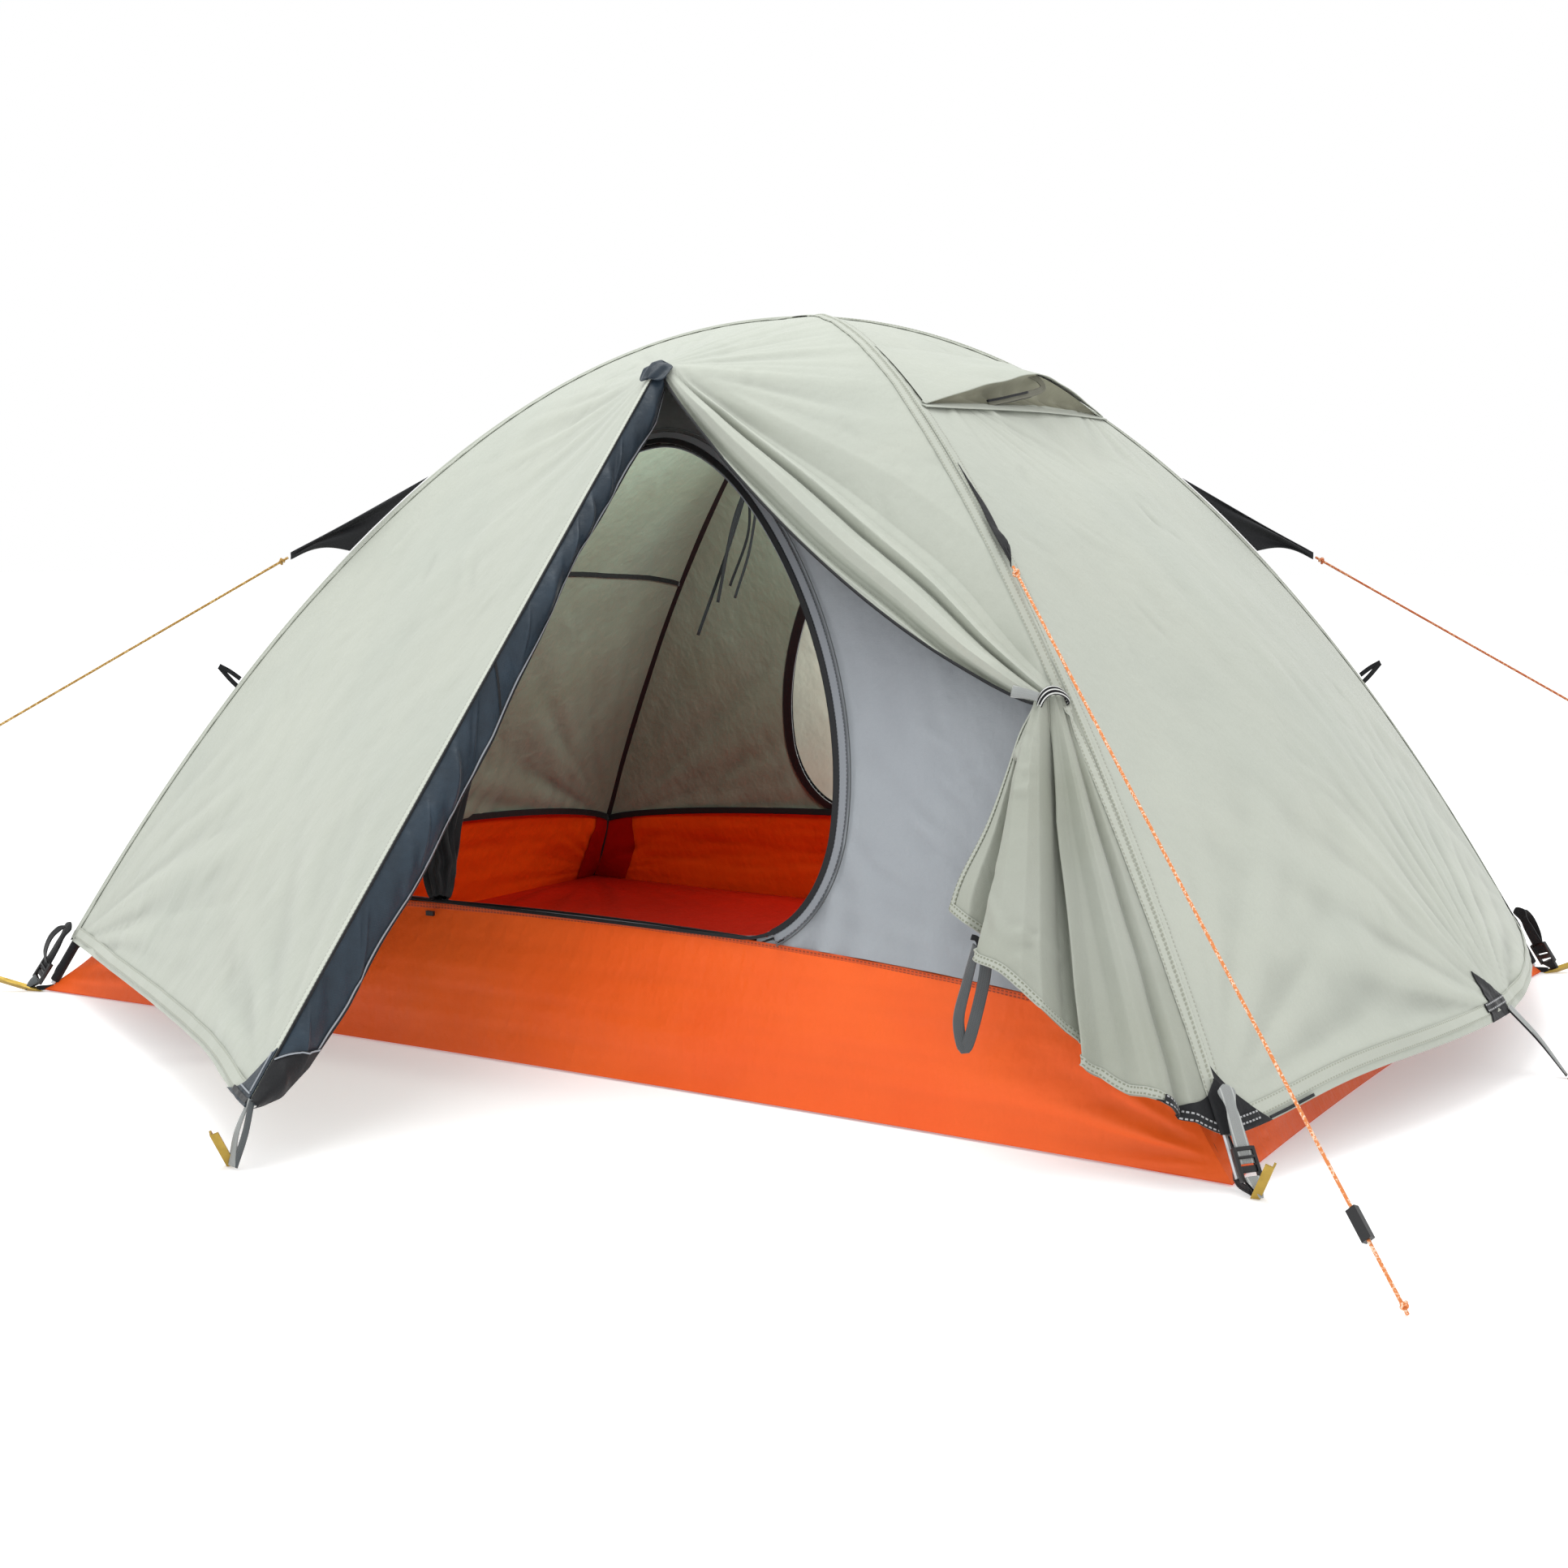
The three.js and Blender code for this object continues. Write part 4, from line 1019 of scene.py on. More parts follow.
def end_panel():
    u, v = lattice(260, 200)
    t = lerp(CROWN_T, HEM_T, v)
    points = drawn_out(end_base(u, t))
    cloth = outward_cloth(points)
    inner = np.sin(np.pi * u) ** 0.6 * np.clip(v * 6, 0, 1)
    depth = 0.0060 * murmur(points, 0.6, 51) + 0.0015 * murmur(points * point(1, 1, 0.4), 0.09, 58)
    along, level = point(-0.3, 0, 1), point(0, 1, 0)
    for k, focus in enumerate((end_base(0.0, HEM_T), end_base(0.5, HEM_T), end_base(1.0, HEM_T))):
        depth = depth + rays(points, focus, along, level, 0.26, 16, 0.0095, 52 + k)
    for k, y in enumerate((-VENT_HALF, VENT_HALF)):
        depth = depth + rays(points, point(0.35, y, 0.97), level, along, 0.10, 14, 0.0040, 56 + k)
    below_vent = hump(points[..., 0], 0.480, 0.055) * hump(points[..., 1], 0, 0.17)
    depth = (depth + scattered(points, 46, 59)) * inner - 0.010 * below_vent
    middle_u, middle_t = (u[:-1, :-1] + u[1:, 1:]) / 2, (t[:-1, :-1] + t[1:, 1:]) / 2
    hole = (middle_t > VENT_TOP_T) & (middle_t < sill_t(middle_u) - 0.006)
    return cloth.pushed(depth), ~(hole & (np.abs(middle_u - 0.5) < 0.5 - VENT_SIDE_U))


end_cloth, end_keep = end_panel()
ends = {}
for side, flip in SIDES:
    ends[side] = Cloth(flip(end_cloth.points))
    place(sheet_object(f"fly_{side}_cloth", ends[side], FLY_CLOTH, keep=end_keep), nodes=(f"fly_{side}_panel",))

# ---- vents: a hood that the strut props open over the hole ----

HOOD_TOP_T, HOOD_LIP_RISE, STRUT_FOOT_U = 0.262, 0.026, 0.29
STRUT_EDGES = (("a", -0.0055), ("b", 0.0055))


def hood_points(u, v):
    peaked = 1 - np.abs(2 * u - 1) ** 1.25
    lift = (v * peaked)[..., None]
    t = lerp(HOOD_TOP_T, sill_t(u) - HOOD_LIP_RISE * peaked, v)
    return end_base(u, t) + lift * point(0.040, 0, 0.032) + point(0.0016, 0, 0.0032)


def hood():
    u, v = lattice(40, 90)
    u = lerp(0.015, 0.985, u)
    points = hood_points(u, v)
    depth = 0.0025 * murmur(points, 0.10, 61) * np.sin(np.pi * u)
    return Cloth(points + UP * depth[..., None])


def vent_lining():
    """The gathered cloth seen in the mouth of the vent, from under the lip down to the hole's edge."""
    u, v = lattice(36, 90)
    u = lerp(0.03, 0.97, u)
    lip = hood_points(u, np.full_like(u, 0.95)) - point(0.003, 0, 0.003)
    sill = end_base(u, sill_t(u)) + point(0.002, 0, 0.003)
    inward = np.sin(np.pi * v) * np.sin(np.pi * u)
    points = between(lip, sill, v) - inward[..., None] * point(0.030, 0, 0.004)
    gathers = 0.0035 * np.sin(u * 60 + 3 * np.sin(v * 4)) * np.sin(np.pi * v) * np.sin(np.pi * u)
    return Cloth(points + gathers[..., None] * point(0.6, 0, 0.5))


def strut_loop():
    top = hood_points(np.array(0.5), np.array(0.90)) - point(0.004, 0, 0.005)
    foot = end_base(STRUT_FOOT_U, sill_t(STRUT_FOOT_U) - 0.004) + point(0.002, 0, 0.004)
    return smooth_path([top, top + point(0.010, 0.020, -0.008), top + point(0.016, 0.020, -0.024),
                        lerp(top, foot, 0.62) + point(0.010, 0.006, -0.010), foot], 50)


for side, flip in SIDES:
    hood_cloth = Cloth(flip(hood().points))
    place(sheet_object(f"{side}_vent_hood_cloth", hood_cloth, FLY_CLOTH), nodes=(f"{side}_vent_hood",))
    # The vent's mouth is dressed in the cloth with painted shade.
    place(sheet_object(f"{side}_vent_lining", Cloth(flip(vent_lining().points)), SHADED_FLY_INSIDE))
    strip_on(f"{side}_vent_lip", hood_cloth, np.linspace(0, 1, 60), np.full(60, 0.985), 0.008, FLY_HEM, 0.0006)
    sill_u = np.linspace(0.01, 0.99, 80)
    sill = end_base(sill_u, sill_t(sill_u) + 0.002) + point(0.002, 0, 0.0035)
    sill_width = 0.024 * np.sin(np.pi * np.clip(sill_u, 0.03, 0.97)) ** 0.4
    strip(f"{side}_vent_sill", flip(sill), flip(point(0.45, 0, 0.9)), sill_width, FLY_CLOTH, 0.0010)
    strut, loop, face = f"{side}_vent_strut", strut_loop(), flip(point(1, -0.5, 0.3))
    strip(f"{strut}_tape", flip(loop), face, 0.010, STRUT_TAPE, 0.0018, body=strut, nodes=(strut,))
    for label, shift in STRUT_EDGES:
        edge = flip(loop[22:] + point(0.0015, shift, -shift * 0.5))
        strip(f"{strut}_edge_{label}", edge, face, 0.0035, BLACK_TAPE, 0.0022, body=strut)

# ---- felled seams over the poles, hems and bindings ----

SEAM_STEPS, SEAM_REACH, SEAM_WIDTH = 150, 0.0062, 0.0125


def seam_side(name, cloth, edge_u):
    """One half of a felled seam, lying on the sheet beside the welt over the pole."""
    v = np.linspace(0.03, 0.997, SEAM_STEPS)
    edge, _ = cloth.at(np.full(SEAM_STEPS, edge_u), v)
    other, _ = cloth.at(np.full(SEAM_STEPS, 1 - edge_u), v)
    share = SEAM_REACH / np.maximum(np.linalg.norm(other - edge, axis=-1), 0.03)
    u = share if edge_u == 0 else 1 - share
    lift = (0.0014 + 0.0005 * np.sin(v * 240) * np.sin(v * 37)) * facing_out(cloth)
    path, facing = cloth.at(u, v)
    path = path + facing * lift[:, None]
    strip(name, path, facing * facing_out(cloth), SEAM_WIDTH, FLY_SEAM)


for name, beside_door, end, end_u in (
    ("front_left", left_half, "left", 1), ("front_right", tied_half, "right", 0),
    ("rear_left", rear_left_half, "left", 0), ("rear_right", Cloth(turned(left_half.points)), "right", 1),
):
    corner = CORNERS[name]
    line = arch(corner, np.linspace(0.012, HEM_T - 0.002, SEAM_STEPS))
    welt = turned(drawn_out(turned(line))) if corner == RL else drawn_out(line)
    tube(f"{name}_welt", welt + UP * 0.0006, 0.0030, FLY_HEM, 10)
    seam_side(f"{name}_seam_a", beside_door, 1)
    seam_side(f"{name}_seam_b", ends[end], end_u)
seam_side("drape_seam", hanging, 1)
CROWN_PATCH = 0.030
ring, turn = lattice(12, 65)[::-1]
turn = turn * 2 * np.pi
crown = np.stack([CROWN_PATCH * ring * np.cos(turn), CROWN_PATCH * ring * np.sin(turn),
                  FLY[1] + 0.0052 - 0.004 * ring ** 2], -1)
place(sheet_object("fly_crown_patch", Cloth(crown), FLY_SEAM))

HEM_WIDTH, HEM_LIFT = 0.018, 0.0012
hem_line = np.linspace(0.004, 0.996, SEAM_STEPS), np.full(SEAM_STEPS, 0.9925)
for side, cloth in ends.items():
    strip_on(f"{side}_hem", cloth, *hem_line, HEM_WIDTH, FLY_HEM, HEM_LIFT * facing_out(cloth))
sign = facing_out(hanging)
# Its hems carry the same painted shade.
strip_on("drape_hem", hanging, np.linspace(0.003, 0.997, 260), np.full(260, 0.986), 0.011, SHADED_DRAPE_HEM, 0.0010 * sign)
strip_on("drape_side_hem", hanging, np.full(160, 0.008), np.linspace(0.04, 0.997, 160),
         np.linspace(0.003, 0.008, 160), SHADED_DRAPE_HEM, 0.0010 * sign)
strip_on("rear_left_hem", rear_left_half, *hem_line, HEM_WIDTH, FLY_HEM, HEM_LIFT * facing_out(rear_left_half))


def door_strip(end, flip, label, line, width, material, lift):
    """A strip on a hinged half, blended over the fold just as its cloth is."""
    sign = facing_out(left_half)
    path, facing = left_half.at(*line, lift * sign)
    piece = sheet_object(f"{end}_door_{label}", strip_cloth(flip(path), flip(facing) * sign, width), material, 0.0012)
    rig.blend(piece, "tent", f"{end}_door", flip(fold_start), flip(fold_end))


edge_line = np.full(SEAM_STEPS, 0.007), np.linspace(ZIP_T / HEM_T + 0.01, 0.995, SEAM_STEPS)
for end, flip in ENDS:
    door_strip(end, flip, "hem", hem_line, HEM_WIDTH, FLY_HEM, HEM_LIFT)
    # The zip edge strip carries a painted highlight.
    door_strip(end, flip, "edge", edge_line, 0.013, FLY_EDGE_HIGHLIGHT, 0.0014)

# Black piping along the opened half's free edge.
piping_path, _ = tied_half.at(np.zeros(170), np.linspace(ZIP_T / TIE_T + 0.004, 0.995, 170))
tube("tied_edge_piping", piping_path, 0.0022, PIPING, 10)

# The elastic that gathers the opened half, its loop end, and the small tab beside it.
seam_at_tie = arch(FR, TIE_T)
gather_middle = lerp(TIE, seam_at_tie, 0.16) + point(0.002, -0.006, 0.008)
gather_axis = unit(arch(FR, TIE_T + 0.04) - arch(FR, TIE_T - 0.04))
gather_wide = unit(seam_at_tie - TIE - gather_axis * ((seam_at_tie - TIE) @ gather_axis))
gather_out = unit(np.cross(gather_wide, gather_axis))
gather_out = gather_out * np.sign(gather_out @ FRONT)
ELASTIC_HALF_WIDTH, ELASTIC_HALF_DEPTH = 0.019, 0.015
angle = np.linspace(0, 2 * np.pi, 97)
ring_way = gather_wide * ELASTIC_HALF_WIDTH * np.cos(angle)[:, None]
ring_way = ring_way + gather_out * ELASTIC_HALF_DEPTH * np.sin(angle)[:, None]
droop = gather_axis * (0.010 * np.cos(angle) ** 2)[:, None]
strip("tie_elastic", gather_middle + ring_way + droop, ring_way, 0.013, ELASTIC, 0.0020, crown=0.0015)
tab_start = gather_middle - gather_wide * 0.017 + gather_out * 0.014 + gather_axis * 0.003
tab_path = smooth_path(tab_start + np.array([(0, 0, 0), (-0.014, -0.002, 0.003), (-0.036, -0.002, 0.006)]), 24)
strip("tie_tab", tab_path, point(0.1, -1, 0.25), np.linspace(0.010, 0.015, 24), GREY_TAPE, 0.0030, crown=0.0015,
      body="tie_toggle", nodes=("tie_toggle",))

# ---- storm flaps ----

# Share along the zip and width of the flap there.
FLAP_WIDTHS = (
    (0, 0.030), (0.04, 0.048), (0.12, 0.044), (0.26, 0.042), (0.40, 0.054), (0.50, 0.066), (0.84, 0.068),
    (0.92, 0.058), (0.97, 0.038), (1.0, 0.016), (1.014, 0.004),
)
FLAP_END = 1.014


def hanging_flap():
    u, v = lattice(420, 34)
    share = lerp(0.002, FLAP_END, v)
    wavy = 1 + 0.05 * np.sin(17 * share) * np.sin(5 * share + 1) + 0.03 * np.sin(39 * share)
    drop = np.interp(share, *zip(*FLAP_WIDTHS)) * u * wavy
    points = zip_point(share) + np.stack([0.0015 + 0.30 * drop, 0 * drop, -drop], axis=-1)
    rumple = 0
    rng = np.random.default_rng(71)
    for middle in np.linspace(0.05, 0.97, 17):
        middle = middle + rng.uniform(-0.02, 0.02)
        slant = rng.uniform(0.004, 0.030)
        rumple = rumple + rng.uniform(-0.010, 0.013) * hump(share - slant * u, middle, rng.uniform(0.009, 0.022))
    for middle in np.linspace(0.14, 0.92, 7):
        ridge_line = rng.uniform(0.004, 0.008) * hump(share - 0.05 * (u - 0.5), middle, 0.0055)
        rumple = rumple + ridge_line * hump(u, rng.uniform(0.3, 0.8), 0.35)
    bulge = 0.012 * np.sin(np.pi * u) * (0.6 + 0.4 * np.sin(19 * share + 2))
    shift = rumple * (0.10 + 0.90 * np.sin(np.pi * np.clip(u, 0, 1))) + bulge
    return Cloth(points + shift[..., None] * unit(point(1, -0.35, 0.15)))


flap_cloth = hanging_flap()
place(sheet_object("front_storm_flap_cloth", flap_cloth, NAVY), "front_door", ("front_storm_flap",))
sign = facing_out(flap_cloth)
down_flap, across_flap = np.linspace(0.004, 0.985, 300), np.linspace(0, 1, 26)
for label, u, v, width, material, lift in (
    ("edge", np.full(300, 0.955), down_flap, 0.0022, PALE_EDGE, 0.0014),
    ("binding", np.full(300, 0.985), down_flap, 0.0060, PIPING, 0.0010),
    ("seam", across_flap, lerp(0.455, 0.47, across_flap), 0.0030, PIPING, 0.0010),
):
    strip_on(f"front_flap_{label}", flap_cloth, u, v, width, material, lift * sign, "front_door")
# The black facing over the flap's lower end, with a pale line along its head.
across, down = lattice(60, 24)
facing_start = lerp(0.950, 0.885, down)
facing_points, _ = flap_cloth.at(lerp(0.03, 0.985, down), lerp(facing_start, 0.999, across), 0.0026 * sign)
place(sheet_object("front_flap_facing", Cloth(facing_points), BLACK_CLOTH, 0.001), "front_door")
strip_on("front_facing_line", flap_cloth, np.linspace(0.04, 0.975, 60), lerp(0.952, 0.887, np.linspace(0, 1, 60)),
         0.0018, PALE_EDGE, 0.0040 * sign, "front_door")

# The flap's rounded head, turned over the top of the zip.
across, down = lattice(40, 24)
head_share = lerp(-0.014, 0.026, across)
above = ridge(ZIP_T * (1 + head_share * 2.2))
head_line = np.where((head_share < 0)[..., None], above, zip_point(np.maximum(head_share, 0)))
half = 0.022 * (1 - np.abs(2 * across - 1) ** 3.5) ** 0.45 + 0.001
side_step = lerp(-1.0, 1.15, down) * half
head = head_line + np.stack([side_step, 0 * side_step, -0.35 * np.abs(side_step)], -1)
bulge = 0.0040 * np.sin(np.pi * down) * np.sin(np.pi * across)
head = head + FRONT * (0.0055 + bulge + 0.0015 * np.sin(17 * down + 5 * across))[..., None]
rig.blend(sheet_object("front_flap_head", Cloth(head), NAVY, 0.001), "tent", "front_door", fold_start, fold_end)

zip_path = zip_point(np.linspace(0.005, 0.995, 120))
tube("front_zip_piping", zip_path + point(0.0020, -0.0015, 0), 0.0018, PIPING, 8, "front_door")


def lying_flap():
    """The rear flap lies over its closed zip."""
    u, v = lattice(300, 30)
    past_ends = np.clip((v - 0.975) / 0.025, 0, 1), np.clip((0.02 - v) / 0.02, 0, 1)
    foot_end, top_end = (np.sqrt(np.clip(1 - past ** 2, 0.02, 1)) for past in past_ends)
    sideways = lerp(-0.030, 0.046 + 0.003 * np.sin(13 * v), u) * (foot_end * top_end)
    rng = np.random.default_rng(77)
    creases = 0
    for middle in np.linspace(0.04, 0.96, 22):
        height, slant = rng.uniform(-0.004, 0.005), rng.uniform(-0.03, 0.03)
        creases = creases + height * hump(v - slant * u, middle + rng.uniform(-0.02, 0.02), rng.uniform(0.006, 0.015))
    proud = unit(point(0, ZIP_FOOT[2] - ZIP_TOP[2], ZIP_TOP[1] - ZIP_FOOT[1]))
    lift = 0.005 + 0.004 * np.sin(np.pi * u) + np.maximum(creases, -0.003) * u
    return zip_point(1.018 * v) + np.stack([sideways, 0 * u, 0 * u], -1) + proud * lift[..., None]


rear_flap = Cloth(turned(lying_flap()))
place(sheet_object("rear_storm_flap_cloth", rear_flap, NAVY, 0.001), "rear_door", ("rear_storm_flap",))

# ---- inner tent ----

def wall_points(a, b, u, v, lowest_t):
    t = lerp(CROWN_T, lowest_t, v)
    return between(arch(a, t, INNER), arch(b, t, INNER), u)


def tub_top(u):
    middling = (4 * u * (1 - u)) ** 0.6
    return np.sqrt(1 - lerp(0.145, 0.210, middling) / INNER[1])


DOORWAY = [(-0.330, 0.208), (0.290, 0.206)]
CURVES = [((0.360, 0.207), (0.407, 0.262), (0.405, 0.345)), ((0.385, 0.640), (0.040, 0.915), (-0.110, 0.905)),
          ((-0.170, 0.900), (-0.205, 0.870), (-0.215, 0.820))]


def doorway_outline():
    outline = [np.linspace(DOORWAY[0], DOORWAY[1], 60, endpoint=False)]
    start = np.array(DOORWAY[1])
    for first, second, end in CURVES:
        s = np.linspace(0, 1, 70, endpoint=False)[:, None]
        first, second, end = map(np.array, (first, second, end))
        bend = 3 * first * s * (1 - s) ** 2 + 3 * second * s ** 2 * (1 - s)
        outline.append(start * (1 - s) ** 3 + bend + end * s ** 3)
        start = end
    outline.append(np.linspace(start, DOORWAY[0], 60))
    return np.concatenate(outline)


OUTLINE = doorway_outline()


def inside(x, z, outline):
    """True where a point lies in the closed outline."""
    crossings = np.zeros(np.shape(x), int)
    for (x1, z1), (x2, z2) in zip(outline, np.roll(outline, -1, axis=0)):
        if z1 != z2:
            straddles = (z1 > z) != (z2 > z)
            crossings += straddles & (x < x1 + (z - z1) / (z2 - z1) * (x2 - x1))
    return crossings % 2 == 1


def on_front_wall(x, z):
    """The point of the front wall at this x and height, and how far along the wall it is."""
    t = np.sqrt(np.clip(1 - z / INNER[1], 0, 1))
    a, b = arch(FL, t, INNER), arch(FR, t, INNER)
    u = (x - a[..., 0]) / (b[..., 0] - a[..., 0])
    return between(a, b, u)


def wall(a, b, seed, pull, marks=(), rows=230, columns=210):
    """One wall of the inner tent, slack between the poles and creased towards its lower corners."""
    u, v = lattice(rows, columns)
    points = wall_points(a, b, u, v, tub_top(u))
    cloth = Cloth(points)
    middle = points[rows // 2, columns // 2] * point(1, 1, 0)
    if cloth.normals[rows // 2, columns // 2] @ middle < 0:
        cloth.normals = -cloth.normals
    side = unit(np.cross(unit(middle), UP))
    inner = np.sin(np.pi * u) ** 0.6
    low = np.clip(v * 1.3, 0, 1) ** 2
    depth = pulled_corners(points, points[-1, 0], points[-1, -1], side, 0.30, 26, pull, seed)
    depth = depth * inner + 0.006 * murmur(points, 0.30, seed + 2) * inner
    gathers = 0.5 + 0.5 * np.sin(u * 130 + 5 * murmur(points, 0.25, seed + 3))
    uneven = 0.6 + 0.4 * murmur(points, 0.3, seed + 4)
    depth = depth + 0.0065 * gathers ** 2 * low * np.exp(-(1 - v) * 6) * inner * uneven
    depth = depth + (scattered(points, 30, seed + 5, height=(0.0010, 0.0026)) + pinches(points, marks, 0.007)) * inner
    return cloth.pushed(depth)


def wall_keep(cloth):
    points = cloth.points
    middle = (points[:-1, :-1] + points[1:, 1:]) / 2
    flipped = -1 if middle[..., 1].mean() > 0 else 1
    return ~inside(flipped * middle[..., 0], middle[..., 2], OUTLINE)


# Creases of the front wall: the x and height of each end.
FRONT_MARKS = (
    (0.505, 0.395, 0.575, 0.345), (0.545, 0.440, 0.590, 0.410), (0.560, 0.425, 0.625, 0.455),
    (0.530, 0.375, 0.590, 0.350), (0.470, 0.330, 0.540, 0.300), (0.560, 0.335, 0.600, 0.310),
    (0.500, 0.500, 0.560, 0.470),
)
front_marks = [(on_front_wall(*mark[:2]), on_front_wall(*mark[2:]), 0.0035) for mark in FRONT_MARKS]
LINING_GAP = 0.0015
front_wall = wall(FL, FR, 81, 0.005, front_marks)
rear_wall = wall(RR, RL, 84, 0.012)
right_wall = wall(FR, RR, 87, 0.010)
left_wall = wall(RL, FL, 90, 0.012)
for name, cloth, keep in (
    ("front", front_wall, wall_keep(front_wall)), ("rear", rear_wall, wall_keep(rear_wall)),
    ("right", right_wall, None), ("left", left_wall, None),
):
    place(sheet_object(f"inner_{name}_cloth", cloth, LINING, keep=keep), nodes=(f"inner_{name}_wall",))
    # Behind each wall lies its inside face, in the lining cloth of painted shade.
    lined = Cloth(cloth.points - cloth.normals * LINING_GAP * facing_out(cloth))
    place(sheet_object(f"inner_{name}_lining", lined, LINING_DIM, keep=keep, seen=-1))

DOORWAY_SILL = 0.216  # the zip runs round the doorway above this height
for name, flip in ENDS:
    base = on_front_wall(OUTLINE[:, 0], OUTLINE[:, 1])
    out = unit(point(0, -1, 0.55))
    ring = smooth_path(np.concatenate([base, base[:1]])[::3], 420)
    centre = ring.mean(axis=0)
    sideways = unit(np.cross(unit(np.gradient(ring, axis=0)), out))
    if (sideways * (ring - centre)).sum() < 0:
        sideways = -sideways
    low = ring[:, 2] < DOORWAY_SILL
    door = f"inner_{name}_door"
    for label, shift, lift, width, material, thick, picked in (
        ("edge", 0.0005, 0.0050, np.where(low, 0.0045, 0.009), PIPING, 0.0014, slice(None)),
        ("tape", 0.0110, 0.0042, 0.0120, ZIP_TAPE, 0.0014, ~low),
        ("stitching", 0.0225, 0.0048, 0.0013, DARK_TAPE, 0.0014, ~low),
        ("facing", 0.0040, -0.0050, np.where(low, 0.004, 0.020), PIPING, 0.0014, slice(None)),
        ("line", -0.0055, -0.0045, np.where(low, 0.001, 0.0022), PALE_EDGE, 0.0010, slice(None)),
    ):
        path = flip((ring + sideways * shift + out * lift)[picked])
        strip(f"{door}_{label}", path, flip(out * np.sign(lift)), width, material, thick)
    coil = flip(ring - sideways * 0.002 - out * 0.003)
    tube(f"{door}_coil", coil, np.where(low, 0.0014, 0.0024), PIPING, 8)

# ---- groundsheet tub ----

TUB_REACH, TUB_CORNER_PULL, TUB_BOW = 1.262, 0.026, 0.020


def tub_foot(corner):
    """The corners whose straps are drawn tightest reach further out."""
    pull = TUB_CORNER_PULL if corner[0] * corner[1] > 0 else 0
    return point(corner[0] * DIAGONAL[0], corner[1] * DIAGONAL[1], 0) * (TUB_REACH + pull)


def tub_wall(a, b, seed):
    u, v = lattice(60, 200)
    outward_way = unit(point(a[0] + b[0], a[1] + b[1], 0))
    low = between(tub_foot(a), tub_foot(b), u) - outward_way * (TUB_BOW * 4 * u * (1 - u))[..., None]
    t = tub_top(u)
    high = between(arch(a, t, INNER), arch(b, t, INNER), u)
    points = between(high, low, v) + UP * (0.002 * v)[..., None]
    near_a, near_b = (unit(point(-c[0] * DIAGONAL[0], -c[1] * DIAGONAL[1], 0)) for c in (a, b))
    tucked = 0.030 * np.sin(np.pi * v)
    points = points + near_a * (tucked * hump(u, 0, 0.10))[..., None] + near_b * (tucked * hump(u, 1, 0.10))[..., None]
    inner = np.sin(np.pi * v) ** 0.7 * np.clip(30 * u * (1 - u), 0, 1)
    along = unit(tub_foot(b) - tub_foot(a))
    left, right = low[-1, 0] + UP * 0.02, low[-1, -1] + UP * 0.02
    depth = pulled_corners(points, left, right, along, 0.14, 20, 0.0060, seed)
    depth = depth + 0.0050 * murmur(points * point(1, 1, 3.5), 0.5, seed + 2) + 0.008 * np.sin(np.pi * v) ** 2
    depth = depth + 0.0020 * murmur(points * point(1, 1, 9), 0.45, seed + 3)
    depth = depth + 0.0012 * murmur(points * point(1, 1, 6), 0.16, seed + 4)
    return Cloth(points + outward_way * (depth * inner)[..., None])


def tub_floor():
    u, v = lattice(170, 200)
    feet = [tub_foot(corner) for corner in CORNERS.values()]
    points = between(between(*feet[:2], u), between(*feet[2:], u), v)
    points[..., 1] += TUB_BOW * 4 * u * (1 - u) * (1 - 2 * v)
    points[..., 0] += TUB_BOW * 4 * v * (1 - v) * (1 - 2 * u)
    edge = np.clip(np.minimum(np.minimum(u, 1 - u), np.minimum(v, 1 - v)) * 25, 0, 1)
    height = 0.004
    for k, (foot, (x, y)) in enumerate(zip(feet, CORNERS.values())):
        inwards, beside = unit(point(-x, -y, 0)), unit(point(-x, y, 0))
        height = height + np.abs(rays(points, foot, inwards, beside, 0.26, 22, 0.010, 110 + k))
    height = height + 0.004 * (1 + murmur(points, 0.4, 120))
    points[..., 2] = 0.0025 + height * edge
    return Cloth(points)


def outward(cloth):
    return cloth.normals * facing_out(cloth)


for name, a, b, seed in (("front", FL, FR, 100), ("right", FR, RR, 103), ("rear", RR, RL, 106), ("left", RL, FL, 109)):
    cloth = tub_wall(a, b, seed)
    place(sheet_object(f"tub_{name}_wall", cloth, TUB_CLOTH))
    # Its inside face carries the painted light of the deeper orange.
    place(sheet_object(f"tub_{name}_inside", Cloth(cloth.points - outward(cloth) * 0.0014), TUB_INSIDE, seen=-1))
    # Painted shade in the tub's corners: a dark red sheet just inside each end of the wall.
    for label, first, last in (("a", 0.002, 0.036), ("b", 0.998, 0.964)):
        across, down = lattice(24, 24)
        corner_shade_u = lerp(first, last, across) + 0.3 * (last - first) * down * across
        corner_shade_points, _ = cloth.at(corner_shade_u, lerp(0.02, 0.96, down), -0.005 * facing_out(cloth))
        place(sheet_object(f"tub_{name}_corner_{label}", Cloth(corner_shade_points), TUB_CORNER_SHADE, seen=-1))
    top_path, _ = cloth.at(np.linspace(0, 1, 200), np.zeros(200))
    away = unit(point(a[0] + b[0], a[1] + b[1], 0))
    strip(f"tub_{name}_binding", top_path - away * 0.0060 - UP * 0.003, -away, 0.013, PIPING, 0.0016)
    strip(f"tub_{name}_seam", top_path + away * 0.0022 - UP * 0.005, away, 0.009, TUB_SEAM, 0.0010)
# The tub's floor is painted darker: painted shade.
place(sheet_object("tub_floor", tub_floor(), SHADED_TUB_FLOOR), nodes=("groundsheet_tub",))

